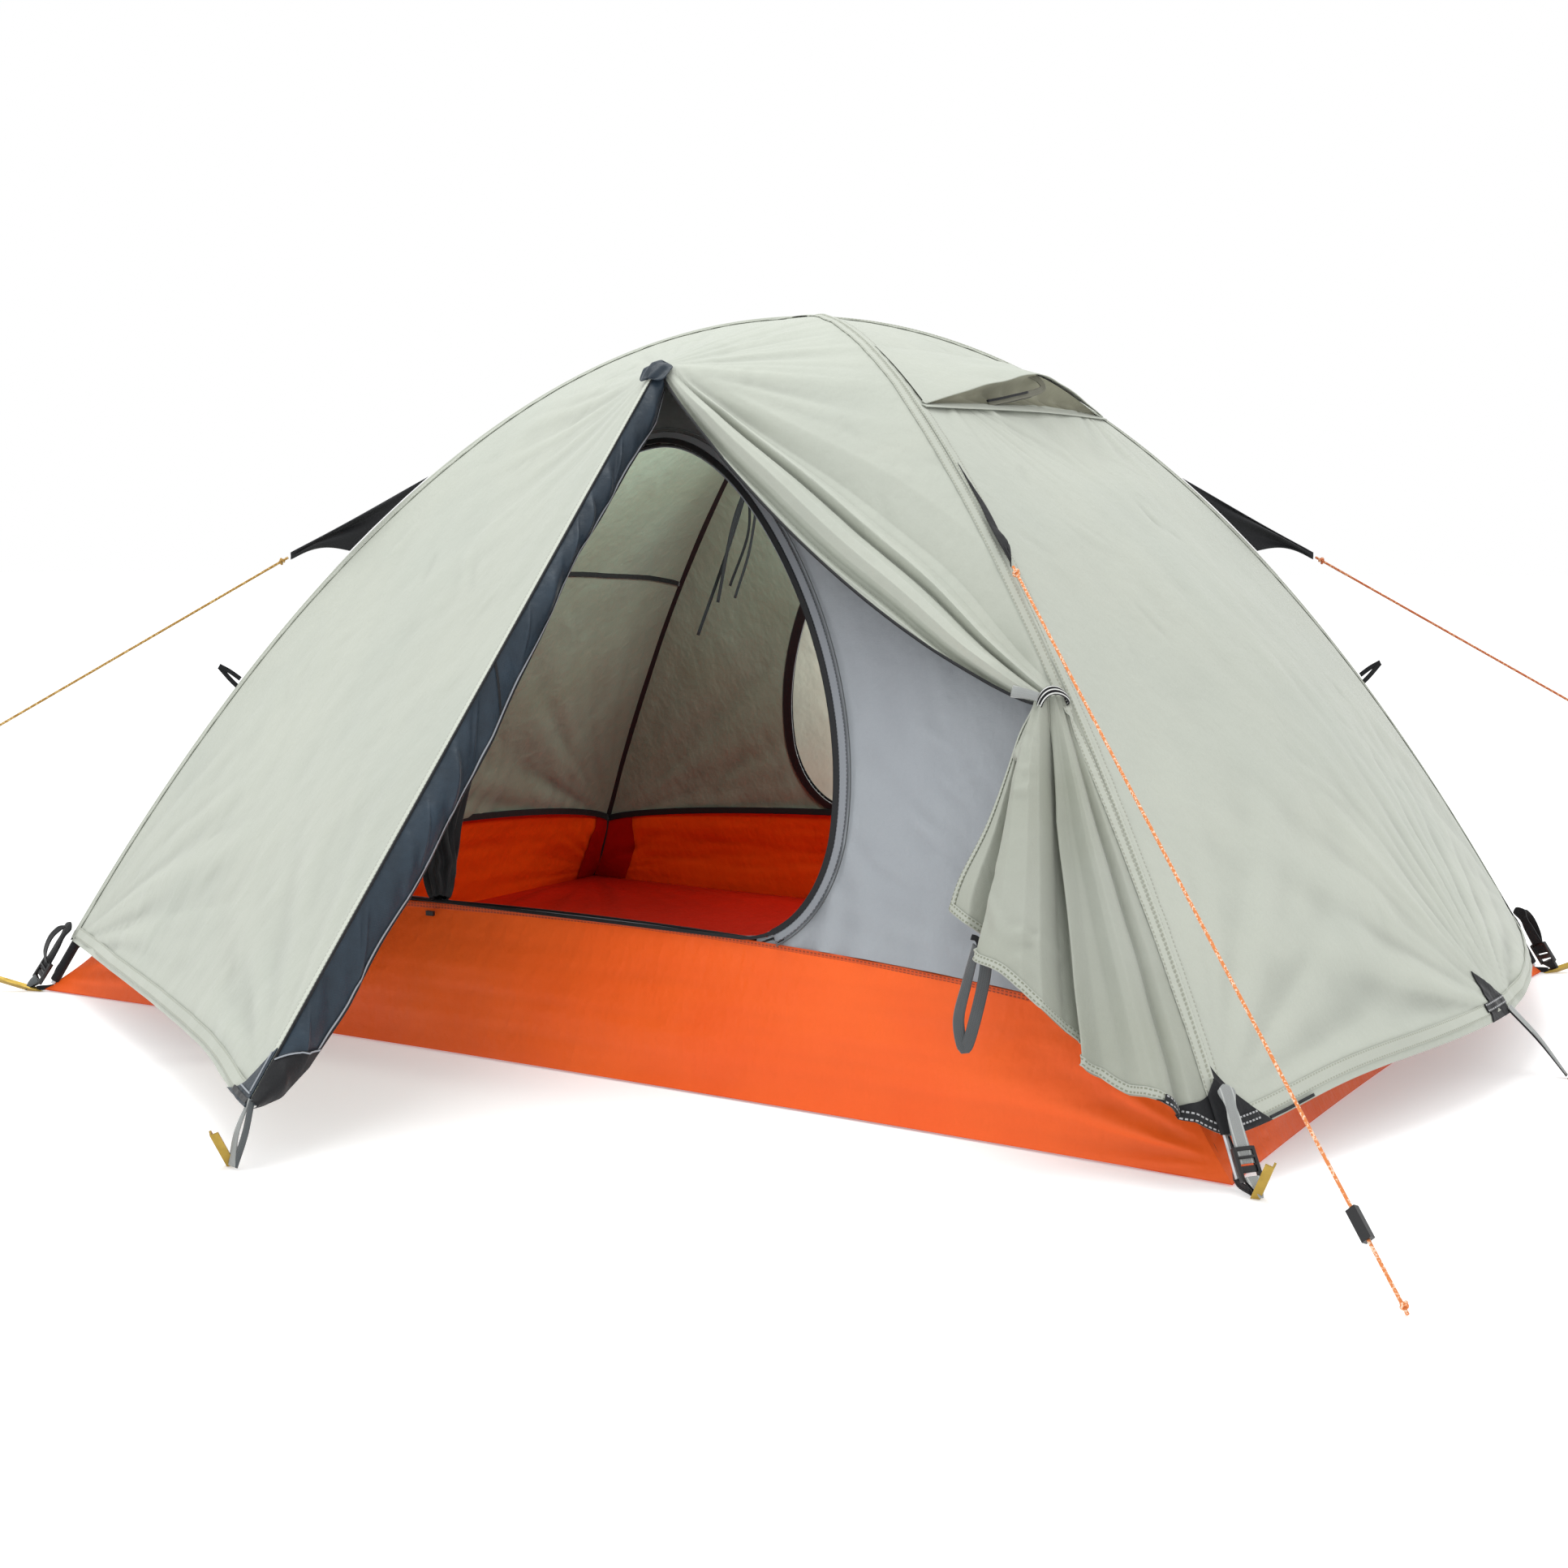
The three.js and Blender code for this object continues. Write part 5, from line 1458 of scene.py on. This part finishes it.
# Bindings over the inner tent's pole seams, seen from inside.
TUB_TOP_T = 0.926
for name, corner in CORNERS.items():
    path = arch(corner, np.linspace(0.02, 0.925, 140), INNER)
    inwards = unit(point(-corner[0], -corner[1], 0))
    strip(f"inner_{name}_binding", path + inwards * 0.0060, inwards, 0.017, PIPING, 0.0016)
    line = path + inwards * 0.0080 + unit(np.cross(UP, inwards)) * 0.0085
    strip(f"inner_{name}_binding_line", line, inwards, 0.0018, PALE_EDGE, 0.0010)
    foot, top = tub_foot(corner) + UP * 0.006, arch(corner, TUB_TOP_T, INNER)
    seam = smooth_path([top + inwards * 0.012, lerp(top, foot, 0.5) + inwards * 0.042, foot + inwards * 0.016], 24)
    strip(f"tub_{name}_corner_seam", seam, inwards, 0.007, PIPING, 0.0014)

# The black band across the left wall, and thin ties that dangle from the rear-left seam.
BAND_V = 0.605 / 0.93
band_path, _ = left_wall.at(np.linspace(0.01, 0.99, 120), np.full(120, BAND_V))
strip("inner_left_band", band_path + point(0.004, 0, 0), point(1, 0, 0), 0.012, PIPING, 0.0016)
RL_SEAM_TIES = (
    (0.30, (0.012, -0.020, -0.06), (-0.010, -0.060, -0.20), (-0.062, -0.090, -0.37), 0.006),
    (0.33, (0.030, -0.030, -0.05), (0.030, -0.090, -0.15), (0.010, -0.110, -0.29), 0.006),
    (0.36, (0.024, -0.010, -0.05), (0.040, -0.030, -0.14), (0.012, -0.050, -0.24), 0.005),
    (0.27, (0.008, -0.012, -0.08), (0.000, -0.030, -0.22), (-0.022, -0.050, -0.32), 0.005),
)
for k, (t, first, second, last, width) in enumerate(RL_SEAM_TIES):
    top = arch(RL, t, INNER) + point(0.006, -0.006, -0.004)
    path = smooth_path([top, top + point(*first), top + point(*second), top + point(*last)], 50)
    strip(f"inner_tie_{k + 1}", path, point(0.5, -0.8, 0.1), width, BLACK_TAPE, 0.001)


def gathered(angle, share):
    return 1 + 0.16 * np.sin(9 * angle + 6 * share) + 0.10 * np.sin(5 * angle - 11 * share) + 0.08 * np.sin(23 * share)


BUNDLE = point((-0.250, -0.655, 0.214), (-0.262, -0.640, 0.250), (-0.268, -0.620, 0.330), (-0.255, -0.560, 0.540),
               (-0.232, -0.470, 0.740))
BUNDLE_RADIUS = 0.026
for name, flip in ENDS:
    path = smooth_path(flip(BUNDLE), 120)
    radius = BUNDLE_RADIUS * np.sqrt(np.clip(np.sin(np.pi * np.linspace(0.01, 0.99, 120)), 0, 1)) ** 0.4
    piece = sheet_object(f"inner_{name}_bundle_cloth", tube_cloth(path, radius, 64, folds=gathered), BLACK_CLOTH)
    place(piece, nodes=(f"inner_{name}_door_bundle",))

# ---- guy tabs ----

TAB_T = (0.486, 0.588)
for name, corner in CORNERS.items():
    way = unit(point(corner[0] * DIAGONAL[0], corner[1] * DIAGONAL[1], 0.6))
    u, v = lattice(40, 24)
    seam = arch(corner, lerp(*TAB_T, u)) + way * 0.0055
    side = point(-corner[1] * DIAGONAL[1], corner[0] * DIAGONAL[0], 0)
    points = between(seam, TAB_TIPS[name], v)
    points = points + UP * (np.sin(np.pi * v) * u * 0.010)[..., None]
    points = points + side * (0.006 * np.sin(3 * np.pi * u) * np.sin(np.pi * v))[..., None]
    points = points + UP * (0.006 * ((0.5 - u) * 2 * v ** 3))[..., None]
    place(sheet_object(f"{name}_tab_cloth", Cloth(points), BLACK_CLOTH, 0.0016), nodes=(f"{name}_guy_tab",))

# ---- webbing loops, corner patches, straps and buckles ----

def corner_frame(corner):
    out = point(corner[0] * DIAGONAL[0], corner[1] * DIAGONAL[1], 0)
    return out, point(-out[1], out[0], 0)


def bars(name, boxes, material, body):
    """Small rounded bars joined in one piece; each box is (middle, half sizes, three axes)."""
    mesh = bpy.data.meshes.new(name)
    shape = bmesh.new()
    for middle, halves, axes in boxes:
        made = bmesh.ops.create_cube(shape, size=2.0)["verts"]
        for vertex in made:
            local = [vertex.co[k] * halves[k] for k in range(3)]
            vertex.co = Vector(tuple(middle + axes[0] * local[0] + axes[1] * local[1] + axes[2] * local[2]))
    shape.to_mesh(mesh)
    shape.free()
    mesh.materials.append(material)
    piece = new_object(name, mesh)
    bevel = piece.modifiers.new("rounded edges", "BEVEL")
    bevel.width, bevel.segments = 0.0010, 3
    for polygon in mesh.polygons:
        polygon.use_smooth = True
    return place(piece, body)


STRAP_TWIST = math.radians(40)
BUCKLE_SIDE, BUCKLE_SIDE_HALVES, BUCKLE_BAR_HALF, BUCKLE_BAR_DEPTH = 0.0125, (0.0022, 0.0200, 0.0035), 0.0120, 0.0024
# The buckle's cross bars: place along it, rise and half width.
BUCKLE_BARS = ((-0.0180, 0.001, 0.0024), (-0.0075, 0.002, 0.0016), (0.0060, -0.001, 0.0040), (0.0185, 0.0, 0.0024))
# The loose tail of a black strap: distance back from the strap's foot and height off it.
TAIL = ((0.012, 0.004), (0.030, 0.016), (0.055, 0.021), (0.074, 0.016), (0.082, 0.008))

for name, corner in CORNERS.items():
    out, side = corner_frame(corner)
    black = corner[0] * corner[1] > 0
    top, foot, peg_foot = out * 1.243 + UP * 0.106, out * 1.287 + UP * 0.038, out * 1.318 + UP * 0.002
    way = unit(foot - top)
    face = unit(np.cross(side, way))
    face = face * np.sign(face @ out)
    if black:
        cos, sin = math.cos(STRAP_TWIST), math.sin(STRAP_TWIST)
        face, side = face * cos + side * sin, side * cos - face * sin
    head = top - way * 0.010 + face * 0.0022
    bend = top + way * 0.010 + face * 0.0030
    path = smooth_path([head, bend, lerp(top, foot, 0.6) + face * 0.0006, foot + way * 0.004], 60)
    share = np.linspace(0, 1, 60)
    width = 0.0165 + 0.0065 * hump(share, 0.10, 0.09) - 0.003 * hump(share, 0.30, 0.10)
    width = (width + 0.0045 * np.clip(share * 1.6 - 0.5, 0, 1)) * np.sqrt(np.clip(share * 14 + 0.02, 0, 1))
    strip(f"{name}_strap_tape", path, face, width, BLACK_TAPE if black else GREY_TAPE, 0.0018, crown=0.0006,
          body=f"{name}_strap", nodes=(f"{name}_strap",))
    axes = (side, way, face)
    middle = foot + way * 0.0044
    boxes = [(middle + side * k * BUCKLE_SIDE, BUCKLE_SIDE_HALVES, axes) for k in (-1, 1)]
    boxes += [(middle + way * along + face * rise, (BUCKLE_BAR_HALF, thick, BUCKLE_BAR_DEPTH), axes)
              for along, rise, thick in BUCKLE_BARS]
    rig.replaces(bars(f"{name}_buckle_frame", boxes, PLASTIC, "tent"), f"{name}_buckle")
    lower = middle + way * 0.016
    path = smooth_path([lower + face * 0.001, lerp(lower, peg_foot, 0.5) + face * 0.003, peg_foot], 24)
    tape = DARK_TAPE if black else GREY_TAPE
    strip(f"{name}_strap_end", path, face, np.linspace(0.021, 0.004, 24), tape, 0.0026, crown=0.001)
    path = smooth_path([lower - face * 0.003, lerp(lower, peg_foot, 0.5) - face * 0.002, peg_foot - out * 0.004], 24)
    strip(f"{name}_strap_underside", path, -face, np.linspace(0.022, 0.006, 24), BLACK_TAPE, 0.0014)
    path = smooth_path([arch(corner, TUB_TOP_T, INNER) + out * 0.004, out * 1.258 + UP * 0.045,
                        out * 1.268 + UP * 0.010, out * 1.300 + UP * 0.004], 40)
    strip(f"{name}_tub_tape", path, side, 0.009, BLACK_TAPE, 0.0016)
    if black:
        tube(f"{name}_pole_sleeve", arch(corner, np.linspace(0.955, 0.992, 30), POLE), 0.0078, BLACK_TAPE, 14)
        path = smooth_path([foot - way * back + face * rise for back, rise in TAIL], 50)
        width = 0.014 * np.sqrt(np.clip((1.02 - np.linspace(0, 1, 50)) * 6, 0, 1))
        strip(f"{name}_strap_tail", path, face, width, BLACK_TAPE, 0.0014, body=f"{name}_strap")


PATCH_LIFT, PATCH_THICK = 0.0018, 0.0012


def fin_patch(name, cloth, corner_u, span_u, span_v, power, hem_share=0.72, hem_v=0.995):
    """A patch whose free edge curves in from the hem up to a point on the seam at corner_u."""
    sign = facing_out(cloth)
    s, t = lattice(40, 24)
    points, _ = cloth.at(corner_u + span_u * s ** power * t, 1 - span_v * (1 - s), PATCH_LIFT * sign)
    place(sheet_object(name, Cloth(points), BLACK_CLOTH, PATCH_THICK))
    hem_u = corner_u + span_u * np.linspace(0, 1, 40) * hem_share
    points, facing = cloth.at(hem_u, np.full(40, hem_v), (PATCH_LIFT + 0.0012) * sign)
    strip(f"{name}_hem", points, facing * sign, 0.012, BLACK_PATCH, 0.0016)


fin_patch("front_right_patch_left", hanging, 1.0, -0.175, 0.105, 1.7, 0.9, 0.9905)
cover = drawn_out(arch(FR, np.linspace(0.936, HEM_T - 0.001, 40)))
cover_out = unit(point(DIAGONAL[0], -DIAGONAL[1], 0.35))
cover_width = 0.030 * np.clip(np.linspace(0, 4, 40), 0.1, 1)
strip("front_right_patch_middle", cover + cover_out * 0.0062, cover_out, cover_width, BLACK_CLOTH, 0.0014)
fin_patch("rear_left_patch_left", rear_left_half, 1.0, -0.060, 0.036, 2.2)
for side, flip in SIDES:
    cloth = ends[side]
    sign = facing_out(cloth)
    fin_patch(f"{side}_end_patch_a", cloth, 0.0, 0.052, 0.034, 1.3)
    fin_patch(f"{side}_end_patch_b", cloth, 1.0, -0.052, 0.034, 1.3)
    strip_on(f"{side}_hem_binding", cloth, np.linspace(0.050, 0.11, 40), np.full(40, 0.9985), 0.004, PIPING,
             0.0024 * sign)
    across, down = lattice(30, 30)
    tall = lerp(0.012, 0.031, across)
    lean = 0.5 - 0.058 * across + 0.020 * across * down + 0.005 * across * np.sin(np.pi * down)
    points, _ = cloth.at(lean, 1 - tall * down, 0.0020 * sign)
    place(sheet_object(f"{side}_middle_patch", Cloth(points), BLACK_CLOTH, 0.0012))
    points, facing = cloth.at(np.linspace(0.5, 0.442, 30), np.full(30, 0.9915), 0.0032 * sign)
    strip(f"{side}_middle_hem", points, facing * sign, 0.013, BLACK_PATCH, 0.0016)
    top, foot = point(1.166, -0.006, 0.094), point(1.246, 0, 0.004)
    for label, shift, tape, nodes in (
        ("tape", 0.0, GREY_TAPE, (f"{side}_strap",)), ("underside", -0.0035, BLACK_TAPE, ()),
    ):
        half_way = lerp(top, foot, 0.5) + point(0.002, 0, 0.003 + shift)
        path = flip(smooth_path([top + UP * shift, half_way, foot + UP * (shift * 0.3)], 40))
        strip(f"{side}_strap_{label}", path, flip(point(0.7, 0, 0.7)), np.linspace(0.017, 0.007, 40), tape, 0.0016,
              nodes=nodes)

# A webbing loop stands out from the pole seam at either end of the tent.
for name, corner in (("front_left", FL), ("rear_right", RR)):
    base = arch(corner, 0.735)
    out, side = corner_frame(corner)
    tip = base + out * 0.034 + UP * 0.030
    for label, shift in (("upper", 0.0040), ("lower", -0.0040)):
        half_way = lerp(base, tip, 0.5) + UP * shift * 1.6
        strand = smooth_path([base + UP * shift * 2.2, half_way, tip + UP * shift * 0.2], 40)
        strip(f"{name}_seam_loop_{label}", strand, side + UP * 0.2, 0.0075, BLACK_TAPE, 0.0022)

# The foot of each hinged half: a navy patch with its black binding, and a strap in two strands.
FOOT_PATCH_REACH, FOOT_PATCH_HEIGHT = 0.086, 0.040
# Trims of the patch: u and v from end to end on the door's half, lift, width, material and points along it.
FOOT_TRIMS = (
    ("binding", (0.0, 0.062), (0.9962, 0.9962), 0.0048, 0.0065, PIPING, 40),
    ("line", (0.004, 0.044), (0.9915, 0.9915), 0.0050, 0.0018, PALE_EDGE, 40),
    ("edge", (0.006, 0.006), (0.964, 0.9905), 0.0048, 0.0022, PALE_EDGE, 50),
)
sign = facing_out(left_half)
for end, flip in ENDS:
    door = f"{end}_door"
    down, across = lattice(50, 24)[::-1]
    reach = FOOT_PATCH_REACH * (0.60 * down ** 0.9 + 0.40 * down ** 8)
    points, _ = left_half.at(reach * across, 1 - FOOT_PATCH_HEIGHT * (1 - down), 0.0034 * sign)
    place(sheet_object(f"{end}_foot_patch", Cloth(flip(points)), NAVY, 0.0012), door)
    for label, u, v, lift, width, material, count in FOOT_TRIMS:
        points, facing = left_half.at(np.linspace(*u, count), np.linspace(*v, count), lift * sign)
        strip(f"{end}_foot_{label}", flip(points), flip(facing * sign), width, material, 0.0016, body=door)
    start, foot = point(0.001, -1.281, 0.082), point(-0.010, -1.302, 0.003)
    for label, width, swell, lean, tape, nodes in (
        ("light", (0.004, 0.014), -0.004, -0.2, GREY_TAPE, (f"{door}_strap",)),
        ("dark", (0.008, 0.010), 0.010, 0.1, DARK_TAPE, ()),
    ):
        aside = point(swell * 0.3, 0, 0)
        path = smooth_path([start + aside, lerp(start, foot, 0.5) + point(swell, -0.004, 0), foot + aside], 40)
        strip(f"{end}_foot_strap_{label}", flip(path), flip(point(lean, -1, 0.3)), np.linspace(*width, 40), tape,
              0.0018, crown=0.001, body=door, nodes=nodes)

# The twisted peg loop under the opened half's corner, with the zip's end beside it.
PEG_LOOP = ((0.701, -0.752, 0.254), (0.688, -0.752, 0.205), (0.678, -0.753, 0.160), (0.684, -0.754, 0.128),
            (0.691, -0.754, 0.129), (0.702, -0.753, 0.168), (0.712, -0.752, 0.215), (0.715, -0.752, 0.250))
ZIP_END = ((0.694, -0.752, 0.264), (0.702, -0.752, 0.262), (0.708, -0.754, 0.252))
turn = np.linspace(-0.5, 0.9, 90)
loop_face = np.stack([0.55 * np.sin(turn * 2), -np.cos(turn), 0.25 + 0 * turn], -1)
strip("hanging_loop_tape", smooth_path(PEG_LOOP, 90), loop_face, 0.015, DARK_TAPE, 0.0018, crown=0.0008,
      body="hanging_peg_loop", nodes=("hanging_peg_loop",))
strip("opened_zip_end", smooth_path(ZIP_END, 16), FRONT, 0.007, BLACK_TAPE, 0.003)

# ---- pegs, poles, hub and sliders keep their CAD shape; all but the poles get rounded edges ----

def finish_node(name, material, radius):
    piece = frame["nodes"][name]
    piece.data.materials.clear()
    piece.data.materials.append(material)
    if radius:
        bevel = piece.modifiers.new("rounded edges", "BEVEL")
        bevel.width = radius
        bevel.segments = 3
        bevel.limit_method = "ANGLE"
        bevel.angle_limit = math.radians(40)
    for polygon in piece.data.polygons:
        polygon.use_smooth = True


PEG_ROUNDING, PLASTIC_ROUNDING = 0.0012, 0.0010
for corner in CORNERS:
    finish_node(f"{corner}_peg", GOLD, PEG_ROUNDING)
    finish_node(f"pole_{corner}", SILVER, 0)
for side in ("front", "rear", "left", "right"):
    finish_node(f"{side}_peg", GOLD, PEG_ROUNDING)
for name in ("front_zip_slider", "rear_zip_slider", "inner_zip_slider", "guyline_tensioner", "pole_hub"):
    finish_node(name, PLASTIC, PLASTIC_ROUNDING)

# ---- the main sheets of cloth, how they are held and what by ----

NAMES = tuple(CORNERS)
for corner in NAMES:
    if corner != "front_right":
        declare(f"fly_{corner}_cloth", "stretched", f"pole_{corner}")
    declare(f"{corner}_tab_cloth", "stretched", f"pole_{corner}")
declare("fly_front_right_cloth", "gathered", "pole_front_right", "tie_elastic")
declare("tied_back_cloth", "gathered", "pole_front_right", "tie_elastic")
for side in ("left", "right"):
    poles = f"pole_front_{side}", f"pole_rear_{side}"
    declare(f"fly_{side}_cloth", "stretched", *poles)
    declare(f"{side}_vent_hood_cloth", "stretched", f"fly_{side}_cloth")
    declare(f"{side}_vent_lining", "hung", f"fly_{side}_cloth")
for side, poles in (("front", NAMES[:2]), ("rear", NAMES[2:]), ("left", NAMES[::2]), ("right", NAMES[1::2])):
    for face in ("cloth", "lining"):
        declare(f"inner_{side}_{face}", "hung", *(f"pole_{corner}" for corner in poles))
    for face in ("wall", "inside"):
        declare(f"tub_{side}_{face}", "stretched", f"inner_{side}_cloth")
for side, half in (("front", "front_left"), ("rear", "rear_right")):
    declare(f"{side}_storm_flap_cloth", "hung", f"fly_{half}_cloth")
    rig.padded(bpy.data.objects[f"inner_{side}_bundle_cloth"], 0.4)
declare("front_flap_head", "laid", "fly_front_left_cloth")
declare("tub_floor", "laid")

# ---- light and floor ----

def area_light(name, location, target, size, power, colour=(1, 1, 1), hidden=False):
    data = bpy.data.lights.new(name, "AREA")
    data.shape = "RECTANGLE"
    data.size, data.size_y = size
    data.energy = power
    data.color = colour
    light = new_object(name, data)
    light.location = location
    light.rotation_euler = (Vector(target) - Vector(location)).to_track_quat("-Z", "Y").to_euler()
    light.visible_camera = not hidden


area_light("overhead softbox", (-0.5, -0.2, 4.4), (0, 0, 0.5), (2.6, 2.6), 84, (0.97, 1.0, 0.99))
area_light("front softbox", (-3.0, -4.6, 1.8), (-0.3, 0, 0.5), (2.2, 2.0), 6, (0.90, 0.97, 1.0))
area_light("cabin glow", (0.10, -0.08, 0.80), (-0.80, 0.10, 0.40), (0.22, 0.20), 5.0, (0.93, 1.0, 0.93), hidden=True)
area_light("rear porch glow", (-0.08, 0.60, 0.55), (-0.45, 0.80, 0.35), (0.20, 0.12), 1.6, (1.0, 1.0, 0.92),
           hidden=True)

world = bpy.data.worlds.new("studio")
world.use_nodes = True
world.node_tree.nodes["Background"].inputs["Color"].default_value = (1.0, 1.0, 1.0, 1.0)
world.node_tree.nodes["Background"].inputs["Strength"].default_value = 1.0
scene.world = world
scene.view_settings.view_transform = "Standard"

studio = Surface("studio floor")
x, y, _ = studio.axes(studio.place)
distance = studio.math("SQRT", studio.plus(studio.times(x, x), studio.times(y, y)))
paler = studio.mix(studio.ramp(distance, 1.6, 4.5), (0.90, 0.90, 0.90, 1), (1.0, 1.0, 1.0, 1))
floor_material = studio.finish(paler, 0.9, specular=0.0)
studio.shader.inputs["Emission Color"].default_value = (1, 1, 1, 1)
studio.shader.inputs["Emission Strength"].default_value = 0.30
FLOOR_HALF, FLOOR_Z = 60, -0.001
floor_corners = [(x * FLOOR_HALF, y * FLOOR_HALF, FLOOR_Z) for x, y in (FL, FR, RR, RL)]
studio_floor = mesh_object("studio_floor", floor_corners, [(0, 1, 2, 3)], [(0, 0)] * 4, floor_material)
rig.stage(studio_floor)

with open("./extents.json", "w") as file:
    json.dump({"cad": [list(map(float, p)) for p in CAD_BOX], "visual": [list(map(float, p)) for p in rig.bounds()]}, file)
